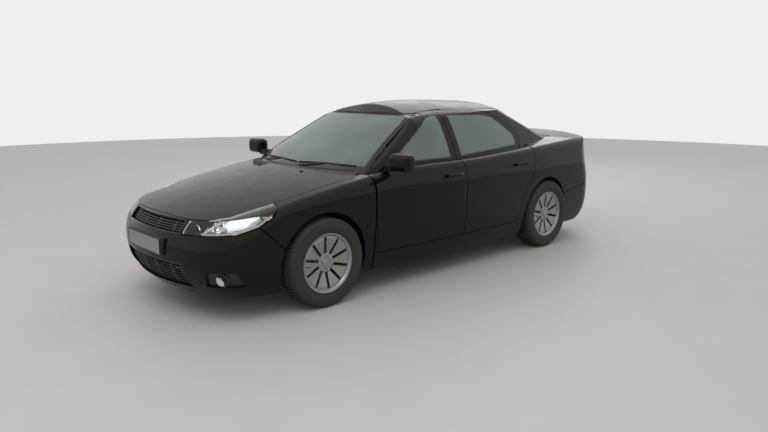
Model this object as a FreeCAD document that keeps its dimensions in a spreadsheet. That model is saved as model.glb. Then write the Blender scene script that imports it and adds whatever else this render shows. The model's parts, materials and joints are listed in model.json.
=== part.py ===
import FreeCAD, Part
import math
import os
import Sketcher

# A four-door sedan, built as separate panels, glass, lamps, running gear and cabin pieces.
# X points forward, Y to the left and Z up; the origin is on the ground below the middle.

os.makedirs("parts", exist_ok=True)
doc = FreeCAD.newDocument("sedan")
sheet = doc.addObject("Spreadsheet::Sheet", "sizes")

SIZES = [
    ("body_length", 4860), ("body_width", 1830), ("roof_height", 1465),
    ("front_axle_x", 1450), ("rear_axle_x", -1330), ("wheel_track", 1590),
    ("tyre_radius", 333), ("tyre_width", 215), ("rim_radius", 222), ("rim_width", 196),
    ("spoke_count", 10), ("hub_radius", 78), ("disc_radius", 150),
    ("arch_radius", 374), ("liner_radius", 384), ("liner_thickness", 8), ("kingpin_inset", 40),
    ("door_thickness", 130), ("fender_thickness", 60), ("bumper_thickness", 60),
    ("frame_thickness", 50), ("roof_thickness", 40), ("hood_thickness", 30),
    ("lid_thickness", 35), ("glass_thickness", 5), ("glass_recess", 4),
    ("shut_gap", 6), ("seat_gap", 0.3), ("door_sill_z", 325), ("sill_bottom_z", 175),
    ("fender_rear_x", 985), ("pillar_x", -60), ("hood_rear_x", 1010),
    ("door_hinge_inset", 12), ("door_hinge_setback", 27), ("hinge_z", 600),
    ("hood_pivot_setback", 50), ("hood_pivot_z", 940),
    ("deck_front_x", -1850), ("deck_half_width", 640),
    ("lid_pivot_ahead", 230), ("lid_pivot_z", 1040), ("lid_arm_y", 540), ("lid_arm_z", 750),
    ("floor_z", 190), ("floor_thickness", 25), ("tank_top_z", 290), ("tank_front_x", -560),
    ("tank_rear_x", -965), ("tank_bottom_z", 188), ("tank_width", 1040), ("tank_corner", 24),
    ("trunk_floor_z", 430), ("wheelhouse_y", 505), ("rear_wheelhouse_y", 620),
    ("rail_inner_y", 395), ("rail_width", 60), ("rail_bottom_z", 330), ("rail_height", 120),
    ("engine_rear_x", 1180), ("engine_length", 700), ("engine_height", 400),
    ("radiator_x", 2130), ("radiator_depth", 50), ("radiator_z", 260), ("radiator_height", 410),
    ("steering_x", 430), ("steering_y", 370), ("steering_z", 930), ("steering_tilt", 24),
    ("steering_radius", 185), ("steering_grip", 14), ("column_radius", 20),
    ("seat_width", 500), ("seat_y", 370),
    ("plate_width", 520), ("plate_height", 114), ("plate_thickness", 1.7),
    ("plate_hole_spacing", 210), ("plate_hole_radius", 3), ("plate_recess_in", 72),
    ("rear_plate_z", 838), ("front_plate_z", 505), ("holder_depth", 4),
    ("exhaust_radius", 27), ("exhaust_z", 150), ("exhaust_tail_y", -520), ("exhaust_tail_z", 235),
    ("muffler_radius", 88), ("muffler_length", 390),
]
for row, (alias, value) in enumerate(SIZES, start=1):
    sheet.set("A%d" % row, alias)
    sheet.set("B%d" % row, str(value))
    sheet.setAlias("B%d" % row, alias)
doc.recompute()

V = FreeCAD.Vector


class Size:
    """A length that knows its value and the sheet expression it comes from."""

    def __init__(self, value, text):
        self.value = float(value)
        self.text = text

    def _join(self, other, sign):
        if not isinstance(other, Size):
            other = Size(other, repr(float(other)))
        values = {"+": self.value + other.value, "-": self.value - other.value,
                  "*": self.value * other.value}
        if sign == "/":
            return Size(self.value / other.value, "(%s / %s)" % (self.text, other.text))
        return Size(values[sign], "(%s %s %s)" % (self.text, sign, other.text))

    def __add__(self, other):
        return self._join(other, "+")

    def __sub__(self, other):
        return self._join(other, "-")

    def __mul__(self, other):
        return self._join(other, "*")

    def __truediv__(self, other):
        return self._join(other, "/")


def size(alias):
    """The sheet's value under this alias, as a bound length."""
    return Size(getattr(sheet, alias), "sizes." + alias)


def num(alias):
    return float(getattr(sheet, alias))


NOSE = num("body_length") / 2
TAIL = -NOSE
HALF = num("body_width") / 2
GAP = num("shut_gap")
SEAT = num("seat_gap")
FRONT_X = num("front_axle_x")
REAR_X = num("rear_axle_x")
WHEEL_Y = num("wheel_track") / 2
AXLE_Z = num("tyre_radius")

# Plan outlines of the lower body, one row for each height
LOWER_COLUMNS = ("height", "nose_in", "nose_bow", "nose_flat", "tail_in", "tail_bow",
                 "tail_flat", "side_in")
LOWER_ROWS = [
    (165, 140, 120, 560, 110, 100, 600, 83),
    (320, 20, 110, 600, 15, 90, 620, 31),
    (500, 0, 110, 600, 0, 90, 620, 10),
    (640, 45, 115, 600, 20, 90, 620, 1),
    (760, 170, 130, 590, 45, 95, 620, 0),
    (900, 390, 150, 580, 60, 100, 610, 10),
    (1180, 900, 170, 560, 110, 110, 600, 35),
]
# Sections across the car that give the hood, the belt and the deck their heights
CAP_COLUMNS = ("station", "crown", "edge", "soft", "crease", "lean")
CAP_ROWS = [
    (2520, 620, 560, 60, 600, 14),
    (2150, 762, 700, 70, 700, 14),
    (1500, 902, 842, 65, 775, 15),
    (900, 985, 935, 55, 805, 15),
    (0, 1030, 972, 50, 830, 15),
    (-900, 1060, 1000, 50, 850, 15),
    (-1750, 1092, 1040, 60, 870, 15),
    (-2200, 1100, 1050, 60, 880, 15),
    (-2520, 1090, 1042, 60, 885, 15),
]
# Plan outlines of the glasshouse
GREEN_COLUMNS = ("height", "front", "front_bow", "front_flat", "rear", "rear_bow",
                 "rear_flat", "half")
GREEN_ROWS = [
    (880, 1270, 165, 680, -2240, 150, 560, 842),
    (970, 1125, 150, 660, -2050, 150, 545, 806),
    (1200, 690, 110, 580, -1530, 140, 500, 700),
    (1350, 385, 80, 510, -1180, 120, 450, 612),
    (1480, 120, 60, 450, -860, 100, 400, 525),
]
# Sections across the roof
ROOF_COLUMNS = ("station", "crown", "edge")
ROOF_ROWS = [
    (1400, -430, -515),
    (900, -205, -290),
    (400, -66, -148),
    (100, -18, -98),
    (-350, 0, -80),
    (-800, -14, -94),
    (-1200, -58, -138),
    (-2000, -215, -295),
]
ROOF_HALF_AT_1200 = 706
ROOF_LEAN = 30.5
ROOF_SOFT = 70
SIDE_RADIUS = 30000
GREEN_SIDE_RADIUS = 11000
GREEN_WIDE_X = 250


def rows(columns, table):
    return [dict(zip(columns, values)) for values in table]


def rounded_end(tip, bow, flat, half, wide_x, side_radius, way):
    """One end of a plan outline: a bowed arc, then a corner arc tangent to the side arc."""
    radius = (flat ** 2 + bow ** 2) / (2 * bow)
    lean = math.asin(flat / radius)
    start_x = tip - way * bow
    end_x = start_x - way * (half - flat) * 1.5
    for _ in range(60):
        drop = side_radius - math.sqrt(side_radius ** 2 - (end_x - wide_x) ** 2)
        end_y = half - drop
        slope = math.asin(way * (end_x - wide_x) / side_radius)
        chord_angle = (lean + math.pi / 2 - slope) / 2
        end_x = start_x - way * (end_y - flat) * math.tan(chord_angle)
    chord = math.hypot(end_x - start_x, end_y - flat)
    turn = math.pi / 2 - slope - lean
    rise = chord / 2 * math.tan(turn / 4)
    middle_x = (start_x + end_x) / 2 + way * math.cos(chord_angle) * rise
    middle_y = (flat + end_y) / 2 + math.sin(chord_angle) * rise
    return (start_x, flat), (middle_x, middle_y), (end_x, end_y)


def outline(z, front, front_bow, front_flat, rear, rear_bow, rear_flat, half, wide_x, side_radius):
    """A closed plan outline of eight tangent arcs at one height."""
    f0, f1, f2 = rounded_end(front, front_bow, front_flat, half, wide_x, side_radius, 1)
    r0, r1, r2 = rounded_end(rear, rear_bow, rear_flat, half, wide_x, side_radius, -1)
    side_x = (f2[0] + r2[0]) / 2
    side_y = half - (side_radius - math.sqrt(side_radius ** 2 - (side_x - wide_x) ** 2))

    def at(point, way=1):
        return V(point[0], way * point[1], z)

    side = (side_x, side_y)
    arcs = [
        (at(f0, -1), V(front, 0, z), at(f0)),
        (at(f0), at(f1), at(f2)),
        (at(f2), at(side), at(r2)),
        (at(r2), at(r1), at(r0)),
        (at(r0), V(rear, 0, z), at(r0, -1)),
        (at(r0, -1), at(r1, -1), at(r2, -1)),
        (at(r2, -1), at(side, -1), at(f2, -1)),
        (at(f2, -1), at(f1, -1), at(f0, -1)),
    ]
    return Part.Wire([Part.Arc(*points).toShape() for points in arcs])


def cap_section(x, crown, edge, soft, crease, lean, half, bottom=-60):
    """A section across the car: crowned top, soft shoulder, leaning side."""
    slope = math.tan(math.radians(lean))
    top_y = half - (edge - crease) * slope - soft
    turn_in = 2 * math.atan((crown - edge) / top_y)
    dir_y, dir_z = math.cos(turn_in), -math.sin(turn_in)
    reach = soft / (dir_y + dir_z * slope)
    corner_y, corner_z = top_y + reach * dir_y, edge + reach * dir_z
    length = math.hypot(slope, 1)
    side_dir = (slope / length, -1 / length)
    low_y, low_z = corner_y + reach * side_dir[0], corner_z + reach * side_dir[1]
    turn = math.acos(dir_y * side_dir[0] + dir_z * side_dir[1])
    mid_y, mid_z = (top_y + low_y) / 2, (edge + low_z) / 2
    chord = math.hypot(low_y - top_y, low_z - edge)
    rise = chord / 2 * math.tan(turn / 4)
    out = math.hypot(corner_y - mid_y, corner_z - mid_z)
    arc_y = mid_y + (corner_y - mid_y) / out * rise
    arc_z = mid_z + (corner_z - mid_z) / out * rise
    foot_y = half - (bottom - crease) * slope

    def at(y, z, way=1):
        return V(x, way * y, z)

    edges = [
        Part.LineSegment(at(foot_y, bottom, -1), at(foot_y, bottom)),
        Part.LineSegment(at(foot_y, bottom), at(low_y, low_z)),
        Part.Arc(at(low_y, low_z), at(arc_y, arc_z), at(top_y, edge)),
        Part.Arc(at(top_y, edge), at(0, crown), at(top_y, edge, -1)),
        Part.Arc(at(top_y, edge, -1), at(arc_y, arc_z, -1), at(low_y, low_z, -1)),
        Part.LineSegment(at(low_y, low_z, -1), at(foot_y, bottom, -1)),
    ]
    return Part.Wire([edge_curve.toShape() for edge_curve in edges])


def plan_form(side=0.0, ends=0.0):
    """The lower body's plan outlines lofted, drawn in by a wall on the sides and ends."""
    wires = []
    for r in rows(LOWER_COLUMNS, LOWER_ROWS):
        wires.append(outline(
            r["height"], NOSE - r["nose_in"] - ends, r["nose_bow"], r["nose_flat"] - side * 0.5,
            TAIL + r["tail_in"] + ends, r["tail_bow"], r["tail_flat"] - side * 0.5,
            HALF - r["side_in"] - side, 0, SIDE_RADIUS))
    return Part.makeLoft(wires, True, False, False, 5)


def cap_form(down=0.0, side=0.0):
    """The form below the hood, belt and deck surface."""
    wires = []
    for r in rows(CAP_COLUMNS, CAP_ROWS):
        half = HALF - r["station"] ** 2 / (2 * SIDE_RADIUS) - side
        wires.append(cap_section(r["station"], r["crown"] - down, r["edge"] - down, r["soft"],
                                 r["crease"], r["lean"], half))
    return Part.makeLoft(wires, True, False, False, 5)


def green_form(inset=0.0):
    """The glasshouse: plan outlines lofted, below the crowned roof."""
    wires = []
    for r in rows(GREEN_COLUMNS, GREEN_ROWS):
        wires.append(outline(
            r["height"], r["front"] - inset * 1.9, r["front_bow"], r["front_flat"] - inset * 0.6,
            r["rear"] + inset * 2.2, r["rear_bow"], r["rear_flat"] - inset * 0.6,
            r["half"] - inset, GREEN_WIDE_X, GREEN_SIDE_RADIUS))
    sides = Part.makeLoft(wires, True, False, False, 5)
    top = num("roof_height")
    wires = []
    for r in rows(ROOF_COLUMNS, ROOF_ROWS):
        wires.append(cap_section(r["station"], top + r["crown"] - inset, top + r["edge"] - inset,
                                 ROOF_SOFT, 1200, ROOF_LEAN, ROOF_HALF_AT_1200 - inset, bottom=700))
    return sides.common(Part.makeLoft(wires, True, False, False, 5))


def box(x0, x1, y0, y1, z0, z1):
    return Part.makeBox(x1 - x0, y1 - y0, z1 - z0, V(x0, y0, z0))


def prism(points, plane, low, high, grow=0.0):
    """A polygon drawn in one of the planes xz, xy or yz, extruded across it."""
    place = {"xz": lambda a, b, c: V(a, c, b), "xy": lambda a, b, c: V(a, b, c),
             "yz": lambda a, b, c: V(c, a, b)}[plane]
    corners = [place(a, b, low) for a, b in points]
    face = Part.Face(Part.makePolygon(corners + corners[:1]))
    if grow:
        face = Part.Face(face.makeOffset2D(grow, 2).OuterWire)
    return face.extrude(place(0, 0, high) - place(0, 0, low))


def oblique_prism(points, reference, lean, grow=0.0, depth=150):
    """A side-view polygon, true on the skin, whose faces run forward towards the cabin.

    reference is the skin's (y at height 970, inward slope above it).
    """
    skin_y, slope = reference
    out = 230

    def skin(z):
        return skin_y - (z - 970) * slope

    corners = [V(x - lean * out, skin(z) + out, z) for x, z in points]
    face = Part.Face(Part.makePolygon(corners + corners[:1]))
    if grow:
        face = Part.Face(face.makeOffset2D(grow, 2).OuterWire)
    return face.extrude(V(1, 0, 0) * lean * (out + depth) - V(0, 1, 0) * (out + depth))


def cyl_y(x, z, radius, y0, y1):
    return Part.makeCylinder(radius, y1 - y0, V(x, y0, z), V(0, 1, 0))


def mirrored(shape):
    return shape.mirror(V(0, 0, 0), V(0, 1, 0))


def both(shape):
    return Part.makeCompound([shape, mirrored(shape)])


def tube(points, radius):
    """A round bar through the given points, with ball joints at the bends."""
    pieces = []
    for start, end in zip(points, points[1:]):
        pieces.append(Part.makeCylinder(radius, (end - start).Length, start, end - start))
    for point in points[1:-1]:
        pieces.append(Part.makeSphere(radius, point))
    return pieces[0].multiFuse(pieces[1:]) if len(pieces) > 1 else pieces[0]


nodes = []


def publish(name, shape, at=None):
    """Add a shaped sub-part; its placement is bound to the sheet where it rides on an axis."""
    base = V(0, 0, 0)
    if at:
        base = V(*[axis.value if isinstance(axis, Size) else axis for axis in at])
    piece = doc.addObject("Part::Feature", name)
    piece.Shape = Part.makeCompound([shape.translated(base * -1)]) if at else shape
    piece.Label = name
    piece.Placement = FreeCAD.Placement(base, FreeCAD.Rotation())
    if at:
        for letter, axis in zip("xyz", at):
            if isinstance(axis, Size):
                piece.setExpression("Placement.Base." + letter, axis.text)
    nodes.append(piece)
    return piece


def sketch_on(body, name, role, points):
    """A closed polygon on an origin plane, each corner bound to the sheet."""
    sketch = body.newObject("Sketcher::SketchObject", name)
    plane = [item for item in body.Origin.OriginFeatures if item.Role == role][0]
    sketch.AttachmentSupport = [(plane, "")]
    sketch.MapMode = "FlatFace"
    count = len(points)
    for i in range(count):
        a, b = points[i], points[(i + 1) % count]
        sketch.addGeometry(Part.LineSegment(V(a[0].value, a[1].value, 0),
                                            V(b[0].value, b[1].value, 0)), False)
    for i in range(count):
        sketch.addConstraint(Sketcher.Constraint("Coincident", i, 2, (i + 1) % count, 1))
    for i, point in enumerate(points):
        for kind, length in zip(("DistanceX", "DistanceY"), point):
            index = sketch.addConstraint(Sketcher.Constraint(kind, -1, 1, i, 1, length.value))
            sketch.setExpression("Constraints[%d]" % index, length.text)
    return sketch


def fixed(value):
    return Size(value, repr(float(value)))


def revolved_body(name, profile, at):
    """A body turned about its own Y axis from a profile of (radius, across) corners."""
    body = doc.addObject("PartDesign::Body", name)
    body.Label = name
    sketch = sketch_on(body, name + "_profile", "XY_Plane", profile)
    turn = body.newObject("PartDesign::Revolution", name + "_turn")
    turn.Profile = sketch
    turn.ReferenceAxis = (sketch, ["V_Axis"])
    turn.Angle = 360
    for letter, axis in zip("xyz", at):
        body.setExpression("Placement.Base." + letter, axis.text)
    nodes.append(body)
    return body


def padded_body(name, profile, width, at):
    """A body padded evenly to both sides of its own XZ plane from (x, z) corners."""
    body = doc.addObject("PartDesign::Body", name)
    body.Label = name
    sketch = sketch_on(body, name + "_profile", "XZ_Plane", profile)
    pad = body.newObject("PartDesign::Pad", name + "_pad")
    pad.Profile = sketch
    pad.Midplane = True
    pad.setExpression("Length", width.text)
    for letter, axis in zip("xyz", at):
        body.setExpression("Placement.Base." + letter, axis.text)
    nodes.append(body)
    return body


def block_profile(length, height, corner=None):
    """Corners of a block from its lower rear corner, with cut lower corners where asked."""
    none = fixed(0)
    if corner is None:
        return [(none, none), (length, none), (length, height), (none, height)]
    return [(corner, none), (length - corner, none), (length, corner), (length, height),
            (none, height), (none, corner)]


def primitive(kind, name, lengths, at=None):
    """A Part primitive whose lengths and place are bound to the sheet."""
    piece = doc.addObject(kind, name)
    for key, length in lengths.items():
        piece.setExpression(key, length.text)
    for letter, axis in zip("xyz", at or ()):
        piece.setExpression("Placement.Base." + letter, axis.text)
    return piece


def spoked_rim(name, profile, window, disc, at, count):
    """A rim turned from its profile, with a patterned ring of windows and the brake disc behind."""
    body = revolved_body(name, profile, at)
    doc.recompute()
    cutter = sketch_on(body, name + "_window", "XZ_Plane", window)
    pocket = body.newObject("PartDesign::Pocket", name + "_windows")
    pocket.Profile = cutter
    pocket.Type = 1
    pocket.Midplane = True
    doc.recompute()
    ring = body.newObject("PartDesign::PolarPattern", name + "_ring")
    ring.Originals = [pocket]
    axis = [item for item in body.Origin.OriginFeatures if item.Role == "Y_Axis"][0]
    ring.Axis = (axis, [""])
    ring.Angle = 360
    ring.Occurrences = count
    body.Tip = ring
    doc.recompute()
    hat = sketch_on(body, name + "_disc_profile", "XY_Plane", disc)
    disc_turn = body.newObject("PartDesign::Revolution", name + "_disc")
    disc_turn.Profile = hat
    disc_turn.ReferenceAxis = (hat, ["V_Axis"])
    disc_turn.Angle = 360
    return body


# Master forms
lower = plan_form().common(cap_form())
door_inner = plan_form(side=num("door_thickness"), ends=num("bumper_thickness"))
fender_inner = plan_form(side=num("fender_thickness"), ends=num("bumper_thickness"))
lid_cap = cap_form(down=num("lid_thickness"))
hood_cap = cap_form(down=num("hood_thickness"))
green = green_form()
green_inner = green_form(num("frame_thickness"))
roof_inner = green_form(num("roof_thickness"))
glass_outer = green_form(num("glass_recess"))
glass_inner = green_form(num("glass_recess") + num("glass_thickness"))
green_clear = green_form(-3)
glass_shell = glass_outer.cut(glass_inner)
green_shell = green.cut(green_inner)
roof_shell = green.cut(roof_inner)

# Side views of the doors and their windows
pillar = num("pillar_x")
sill = num("door_sill_z")
front_belt = 968
rear_belt = 990
FRONT_DOOR_LOW = [(940, sill), (pillar + 4, sill), (pillar + 4, 1010), (905, 1010), (965, 940), (975, 700)]
FRONT_DOOR_HIGH = [(pillar + 4, 940), (pillar + 4, 1384), (120, 1380), (260, 1335), (905, 940)]
FRONT_WINDOW = [(pillar + 72, 982), (pillar + 72, 1352), (95, 1348), (190, 1318), (775, 985)]
REAR_DOOR_LOW = [(pillar - 4, sill), (-850, sill), (-893, 470), (-960, 620), (-1060, 750),
                 (-1110, 900), (-1120, 1010), (pillar - 4, 1010)]
REAR_DOOR_HIGH = [(pillar - 4, 940), (pillar - 4, 1384), (-620, 1372), (-800, 1340),
                  (-1130, 1160), (-1145, 1070), (-1120, 940)]
REAR_WINDOW = [(pillar - 50, 985), (pillar - 50, 1350), (-600, 1342), (-770, 1312),
               (-1030, 1140), (-1034, 1030)]
WINDSCREEN = [(-745, 930), (745, 930), (548, 1366), (-548, 1366)]
BACKLIGHT = [(-590, 1075), (590, 1075), (480, 1362), (-480, 1362)]


PILLAR_OVERLAP = 6
pillar_zone = prism(WINDSCREEN, "yz", 150, 1500, grow=PILLAR_OVERLAP)
LOW_LEAN = 0.2
HIGH_LEAN = 0.4
LOW_REFERENCE = (905, 0.0)
HIGH_REFERENCE = (851, 0.517)


def door(low, high, window):
    """A door: thick lower panel and a window frame, in one solid."""
    panel = lower.common(oblique_prism(low, LOW_REFERENCE, LOW_LEAN, depth=200)).cut(door_inner)
    frame = green_shell.common(oblique_prism(high, HIGH_REFERENCE, HIGH_LEAN, depth=118))
    frame = frame.cut([prism(window, "xz", 300, 1200), pillar_zone])
    return panel.fuse(frame).removeSplitter()


def window_pane(window):
    return glass_shell.common(prism(window, "xz", 300, 1200, grow=-0.4))


def door_opening(low, high):
    low_part = oblique_prism(low, LOW_REFERENCE, LOW_LEAN, GAP, depth=206)
    high_part = oblique_prism(high, HIGH_REFERENCE, HIGH_LEAN, GAP, depth=124)
    return low_part.fuse(high_part.cut(prism(WINDSCREEN, "yz", 150, 1500, grow=PILLAR_OVERLAP - GAP)))


arch = num("arch_radius")
front_arch = cyl_y(FRONT_X, AXLE_Z, arch, 300, 1200)
rear_arch = cyl_y(REAR_X, AXLE_Z, arch, 300, 1200)
front_door = door(FRONT_DOOR_LOW, FRONT_DOOR_HIGH, FRONT_WINDOW)
rear_door = door(REAR_DOOR_LOW, REAR_DOOR_HIGH, REAR_WINDOW)
rear_door = rear_door.cut(oblique_prism(FRONT_DOOR_LOW, LOW_REFERENCE, LOW_LEAN, GAP, depth=206))
front_pane = window_pane(FRONT_WINDOW)
rear_pane = window_pane(REAR_WINDOW)


hinge_x = size("fender_rear_x") - size("door_hinge_setback")
rear_hinge_x = size("pillar_x") - size("door_hinge_setback")
hinge_y = size("body_width") / 2 - size("door_hinge_inset")


def on_both_sides(stem, left_shape, at=None):
    """Publish a left piece and its mirror image on the right."""
    publish(stem + "_left", left_shape, at)
    right_at = (at[0], at[1] * -1.0, at[2]) if at else None
    publish(stem + "_right", mirrored(left_shape), right_at)


def biggest(shape, least=2e5):
    """The shape without slivers."""
    kept = [solid for solid in shape.Solids if solid.Volume > least]
    return kept[0] if len(kept) == 1 else Part.makeCompound(kept)




def handle(x, y, z):
    """A pull bar on two feet, set into the door skin."""
    bar = Part.makeBox(175, 18, 30, V(x, y, z))
    bar = bar.makeFillet(8, bar.Edges)
    feet = [Part.makeCylinder(11, 30, V(x + k, y - 20, z + 15), V(0, 1, 0)) for k in (22, 153)]
    return bar.fuse(feet)


front_door = biggest(front_door).fuse(handle(30, 917, 845))
rear_door = biggest(rear_door).fuse(handle(-925, 912, 862))
door_z = size("hinge_z")
on_both_sides("door_front", biggest(front_door), (hinge_x, hinge_y, door_z))
on_both_sides("door_rear", biggest(rear_door), (rear_hinge_x, hinge_y, door_z))
on_both_sides("glass_front", biggest(front_pane, 1e4), (hinge_x, hinge_y, door_z))
on_both_sides("glass_rear", biggest(rear_pane, 1e4), (rear_hinge_x, hinge_y, door_z))

# Plan views of the hood and the trunk lid, side views of the front end's pieces
DECK_X = num("deck_front_x")
DECK_Y = num("deck_half_width")
HOOD_HALF = [(2310, 0), (2300, 250), (2270, 430), (2215, 560), (2100, 648), (1700, 722),
             (1300, 742), (1045, 748), (1045, 735), (1110, 620), (1165, 400), (1190, 200), (1197, 0)]
LID_HALF = [(TAIL - 90, 0), (TAIL - 90, DECK_Y - 20), (DECK_X - 60, DECK_Y), (DECK_X, DECK_Y - 50),
            (DECK_X + 25, 300), (DECK_X + 32, 0)]
LAMP_SIDE = [(2480, 600), (2120, 634), (1990, 672), (1880, 735), (1770, 812), (1980, 792),
             (2150, 752), (2480, 700)]
FENDER_SIDE = [(991, 175), (1500, 175), (1560, 420), (1765, 462), (1982, 668), (1872, 730),
               (1760, 812), (1760, 822), (1985, 800), (2155, 760), (2330, 735), (2330, 1000), (991, 1000)]
BUMPER_SIDE = [(2520, 165), (2520, 712), (2480, 706), (2480, 594), (2118, 628), (1988, 664), (1772, 458),
               (1700, 330), (1700, 165)]
REAR_BUMPER_SIDE = [(-2520, 165), (-2520, 705), (-2120, 705), (-2080, 560), (-1640, 500), (-1640, 165)]
TAIL_LAMP_SIDE = [(-2520, 800), (-2520, 985), (-2290, 985), (-2130, 960), (-2120, 935), (-2260, 830)]
LAMP_INNER_Y = 425


def symmetric(half_points):
    """A closed polygon from its left half, which starts and ends on the centre line."""
    return half_points + [(x, -y) for x, y in reversed(half_points[1:-1])]


hood_plan = prism(symmetric(HOOD_HALF), "xy", 560, 1100)
hood_hole = prism(symmetric(HOOD_HALF), "xy", 560, 1100, grow=GAP)
lid_plan = prism(symmetric(LID_HALF), "xy", 712, 1200)
lid_hole = prism(symmetric(LID_HALF), "xy", 706, 1200, grow=GAP)
fender_hollow = fender_inner.common(hood_cap)
rear_hollow = fender_inner.common(lid_cap)
front_half = box(980, 2600, -1000, 1000, 100, 1100)
rear_half = box(-2600, -900, -1000, 1000, 100, 1200)
front_skin = lower.common(front_half).cut(fender_hollow)
rear_skin = lower.common(rear_half).cut(rear_hollow)

hood = lower.common(hood_plan).cut(hood_cap)
hood = hood.common(box(900, 2330, -900, 900, 700, 1100))
publish("hood", biggest(hood), (size("hood_rear_x") + size("hood_pivot_setback"), fixed(0), size("hood_pivot_z")))

lamp_prism = prism(LAMP_SIDE, "xz", LAMP_INNER_Y, 1000)
fender = front_skin.common(prism(FENDER_SIDE, "xz", 560, 1000)).cut(hood_hole).cut(front_arch)
fender = fender.cut([green_clear, box(980, 1240, 0, 745, 600, 1100),
                     door_opening(FRONT_DOOR_LOW, FRONT_DOOR_HIGH)])
on_both_sides("fender", biggest(fender))

lens_inner = plan_form(side=4, ends=4).common(cap_form(down=4))
lamp_seat = plan_form(side=4.3, ends=4.3).common(cap_form(down=4.3))
lamp_zone = lower.common(lamp_prism).cut(hood_hole)
lens = lamp_zone.cut(lens_inner)
publish("headlamp_lenses", both(biggest(lens, 1e4)))
bowl_prism = prism(LAMP_SIDE, "xz", LAMP_INNER_Y + 12, 1000, grow=-10)
housing = lamp_zone.common(lamp_seat).cut(fender_inner)
housing = housing.cut(bowl_prism.cut(plan_form(side=46, ends=46)))
publish("headlamp_housings", both(biggest(housing, 1e4)))

# Front bumper with its grille openings
GRILLE_HALF = 410
UPPER_GRILLE = [(-400, 616), (400, 616), (388, 694), (-388, 694)]
LOWER_GRILLE = [(-470, 232), (470, 232), (430, 405), (-430, 405)]
FOG_OPENING = [(600, 262), (790, 262), (790, 372), (640, 372)]
plate_reach = num("plate_width") / 2 + 5
front_plate_z = num("front_plate_z")
bumper_zone = prism(BUMPER_SIDE, "xz", -1000, 1000)
bumper_zone = bumper_zone.fuse(box(2240, 2520, -GRILLE_HALF - 8, GRILLE_HALF + 8, 560, 716))
grille_holes = [prism(UPPER_GRILLE, "yz", 2100, 2600), prism(LOWER_GRILLE, "yz", 2100, 2600)]
fog_hole = prism(FOG_OPENING, "yz", 1900, 2600)
bumper = lower.common(bumper_zone).cut(fender_inner)
bumper = bumper.cut([hood_hole, fog_hole, mirrored(fog_hole), front_arch, mirrored(front_arch)] + grille_holes)
publish("front_bumper", biggest(bumper))

holder_reach = num("plate_height") / 2 + 5
holder_x = NOSE + num("holder_depth")
holder = box(2330, holder_x, -plate_reach, plate_reach, front_plate_z - holder_reach, front_plate_z + holder_reach)
holder = holder.cut(plan_form(side=-SEAT, ends=-SEAT))
publish("plate_holder", biggest(holder, 1e3))
padded_body("front_plate", block_profile(size("plate_thickness"), size("plate_height")), size("plate_width"),
            (size("body_length") / 2 + size("holder_depth") + size("seat_gap"), fixed(0),
             size("front_plate_z") - size("plate_height") / 2))

grille_deep = plan_form(side=20, ends=20)
grille_back = plan_form(side=44, ends=44)
bars = []
for opening, bottom, top, count in ((UPPER_GRILLE, 616, 694, 5), (LOWER_GRILLE, 232, 405, 8)):
    pitch = (top - bottom) / count
    opening_solid = prism(opening, "yz", 2100, 2600, grow=-0.3)
    slats = []
    for k in range(count):
        z = bottom + (k + 0.3) * pitch
        slats.append(box(2100, 2600, -500, 500, z, z + pitch * 0.4))
    for y in (-300, -100, 100, 300):
        slats.append(box(2100, 2600, y - 6, y + 6, bottom, top))
    bars.append(slats[0].multiFuse(slats[1:]).common(opening_solid))
grille = Part.makeCompound(bars).common(grille_deep).cut(grille_back)
publish("grille", biggest(grille, 1e3))
fog = prism(FOG_OPENING, "yz", 1900, 2600, grow=-0.3).common(grille_deep).cut(grille_back)
publish("fog_lamps", both(biggest(fog, 1e3)))

# Cowl strip under the windscreen
screen_foot_z = 935
screen_zone = green_clear.common(box(900, 1400, -900, 900, screen_foot_z - SEAT, 1500))
cowl = lower.common(box(1000, 1230, -705, 705, 845, 1100)).cut([hood_hole, screen_zone])
cowl = cowl.fuse([box(1000, 1040, -699, 699, 300, 905), box(1000, 1185, -640, 640, 825, 850)])
publish("cowl", biggest(cowl))

# Body side: sill, pillars, roof rail and rear quarter in one stamping
windscreen_hole = prism(WINDSCREEN, "yz", 150, 1500)
backlight_hole = prism(BACKLIGHT, "yz", -2400, -860)
RAIL_Y = 500
wall = lower.common(box(-2300, num("fender_rear_x") - GAP, 300, 1200, num("sill_bottom_z"), 1300))
wall = wall.cut(door_inner)
upper = green_shell.common(box(-2300, 1400, 0, 1200, 881, 1600))
upper = upper.cut(windscreen_hole).cut(backlight_hole)
upper = upper.cut([box(-2300, 1400, -10, RAIL_Y + GAP / 2, 1250, 1600), box(-2300, -860, -10, 560, 900, 1080),
                   box(900, 1400, -10, 758, 870, screen_foot_z), hood_hole])
quarter_top = rear_skin.common(box(-2300, -1200, 560.5, 1000, 900, 1200)).cut(green_clear).cut(lid_hole)
hinge_post = box(950, 1040, 712, 770, 200, 890)
side_frame = wall.fuse(upper).fuse(hinge_post).fuse(quarter_top)
side_frame = side_frame.cut(door_opening(FRONT_DOOR_LOW, FRONT_DOOR_HIGH))
side_frame = side_frame.cut(door_opening(REAR_DOOR_LOW, REAR_DOOR_HIGH)).cut(rear_arch)
post_out = num("frame_thickness") + 18
post_inner = green_form(post_out + 32)
post_box = box(pillar - 55, pillar + 55, 400, 900, 930, 1440)
post_shell = green_form(post_out).common(post_box).cut(post_inner)
post_top = green_inner.common(box(pillar - 55, pillar + 55, 400, 900, 1392, 1440)).cut(post_inner)
post_low = box(pillar - 55, pillar + 55, 705, 745, 215, 960)
door_top_z = 1390
side_frame = side_frame.cut(box(pillar - 60, pillar + 60, 450, 900, 1000, door_top_z))
side_frame = side_frame.fuse([post_shell, post_top, post_low])
side_frame = side_frame.cut(lid_hole)
side_frame = side_frame.cut(prism(REAR_BUMPER_SIDE, "xz", 200, 1000, grow=GAP))
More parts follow.
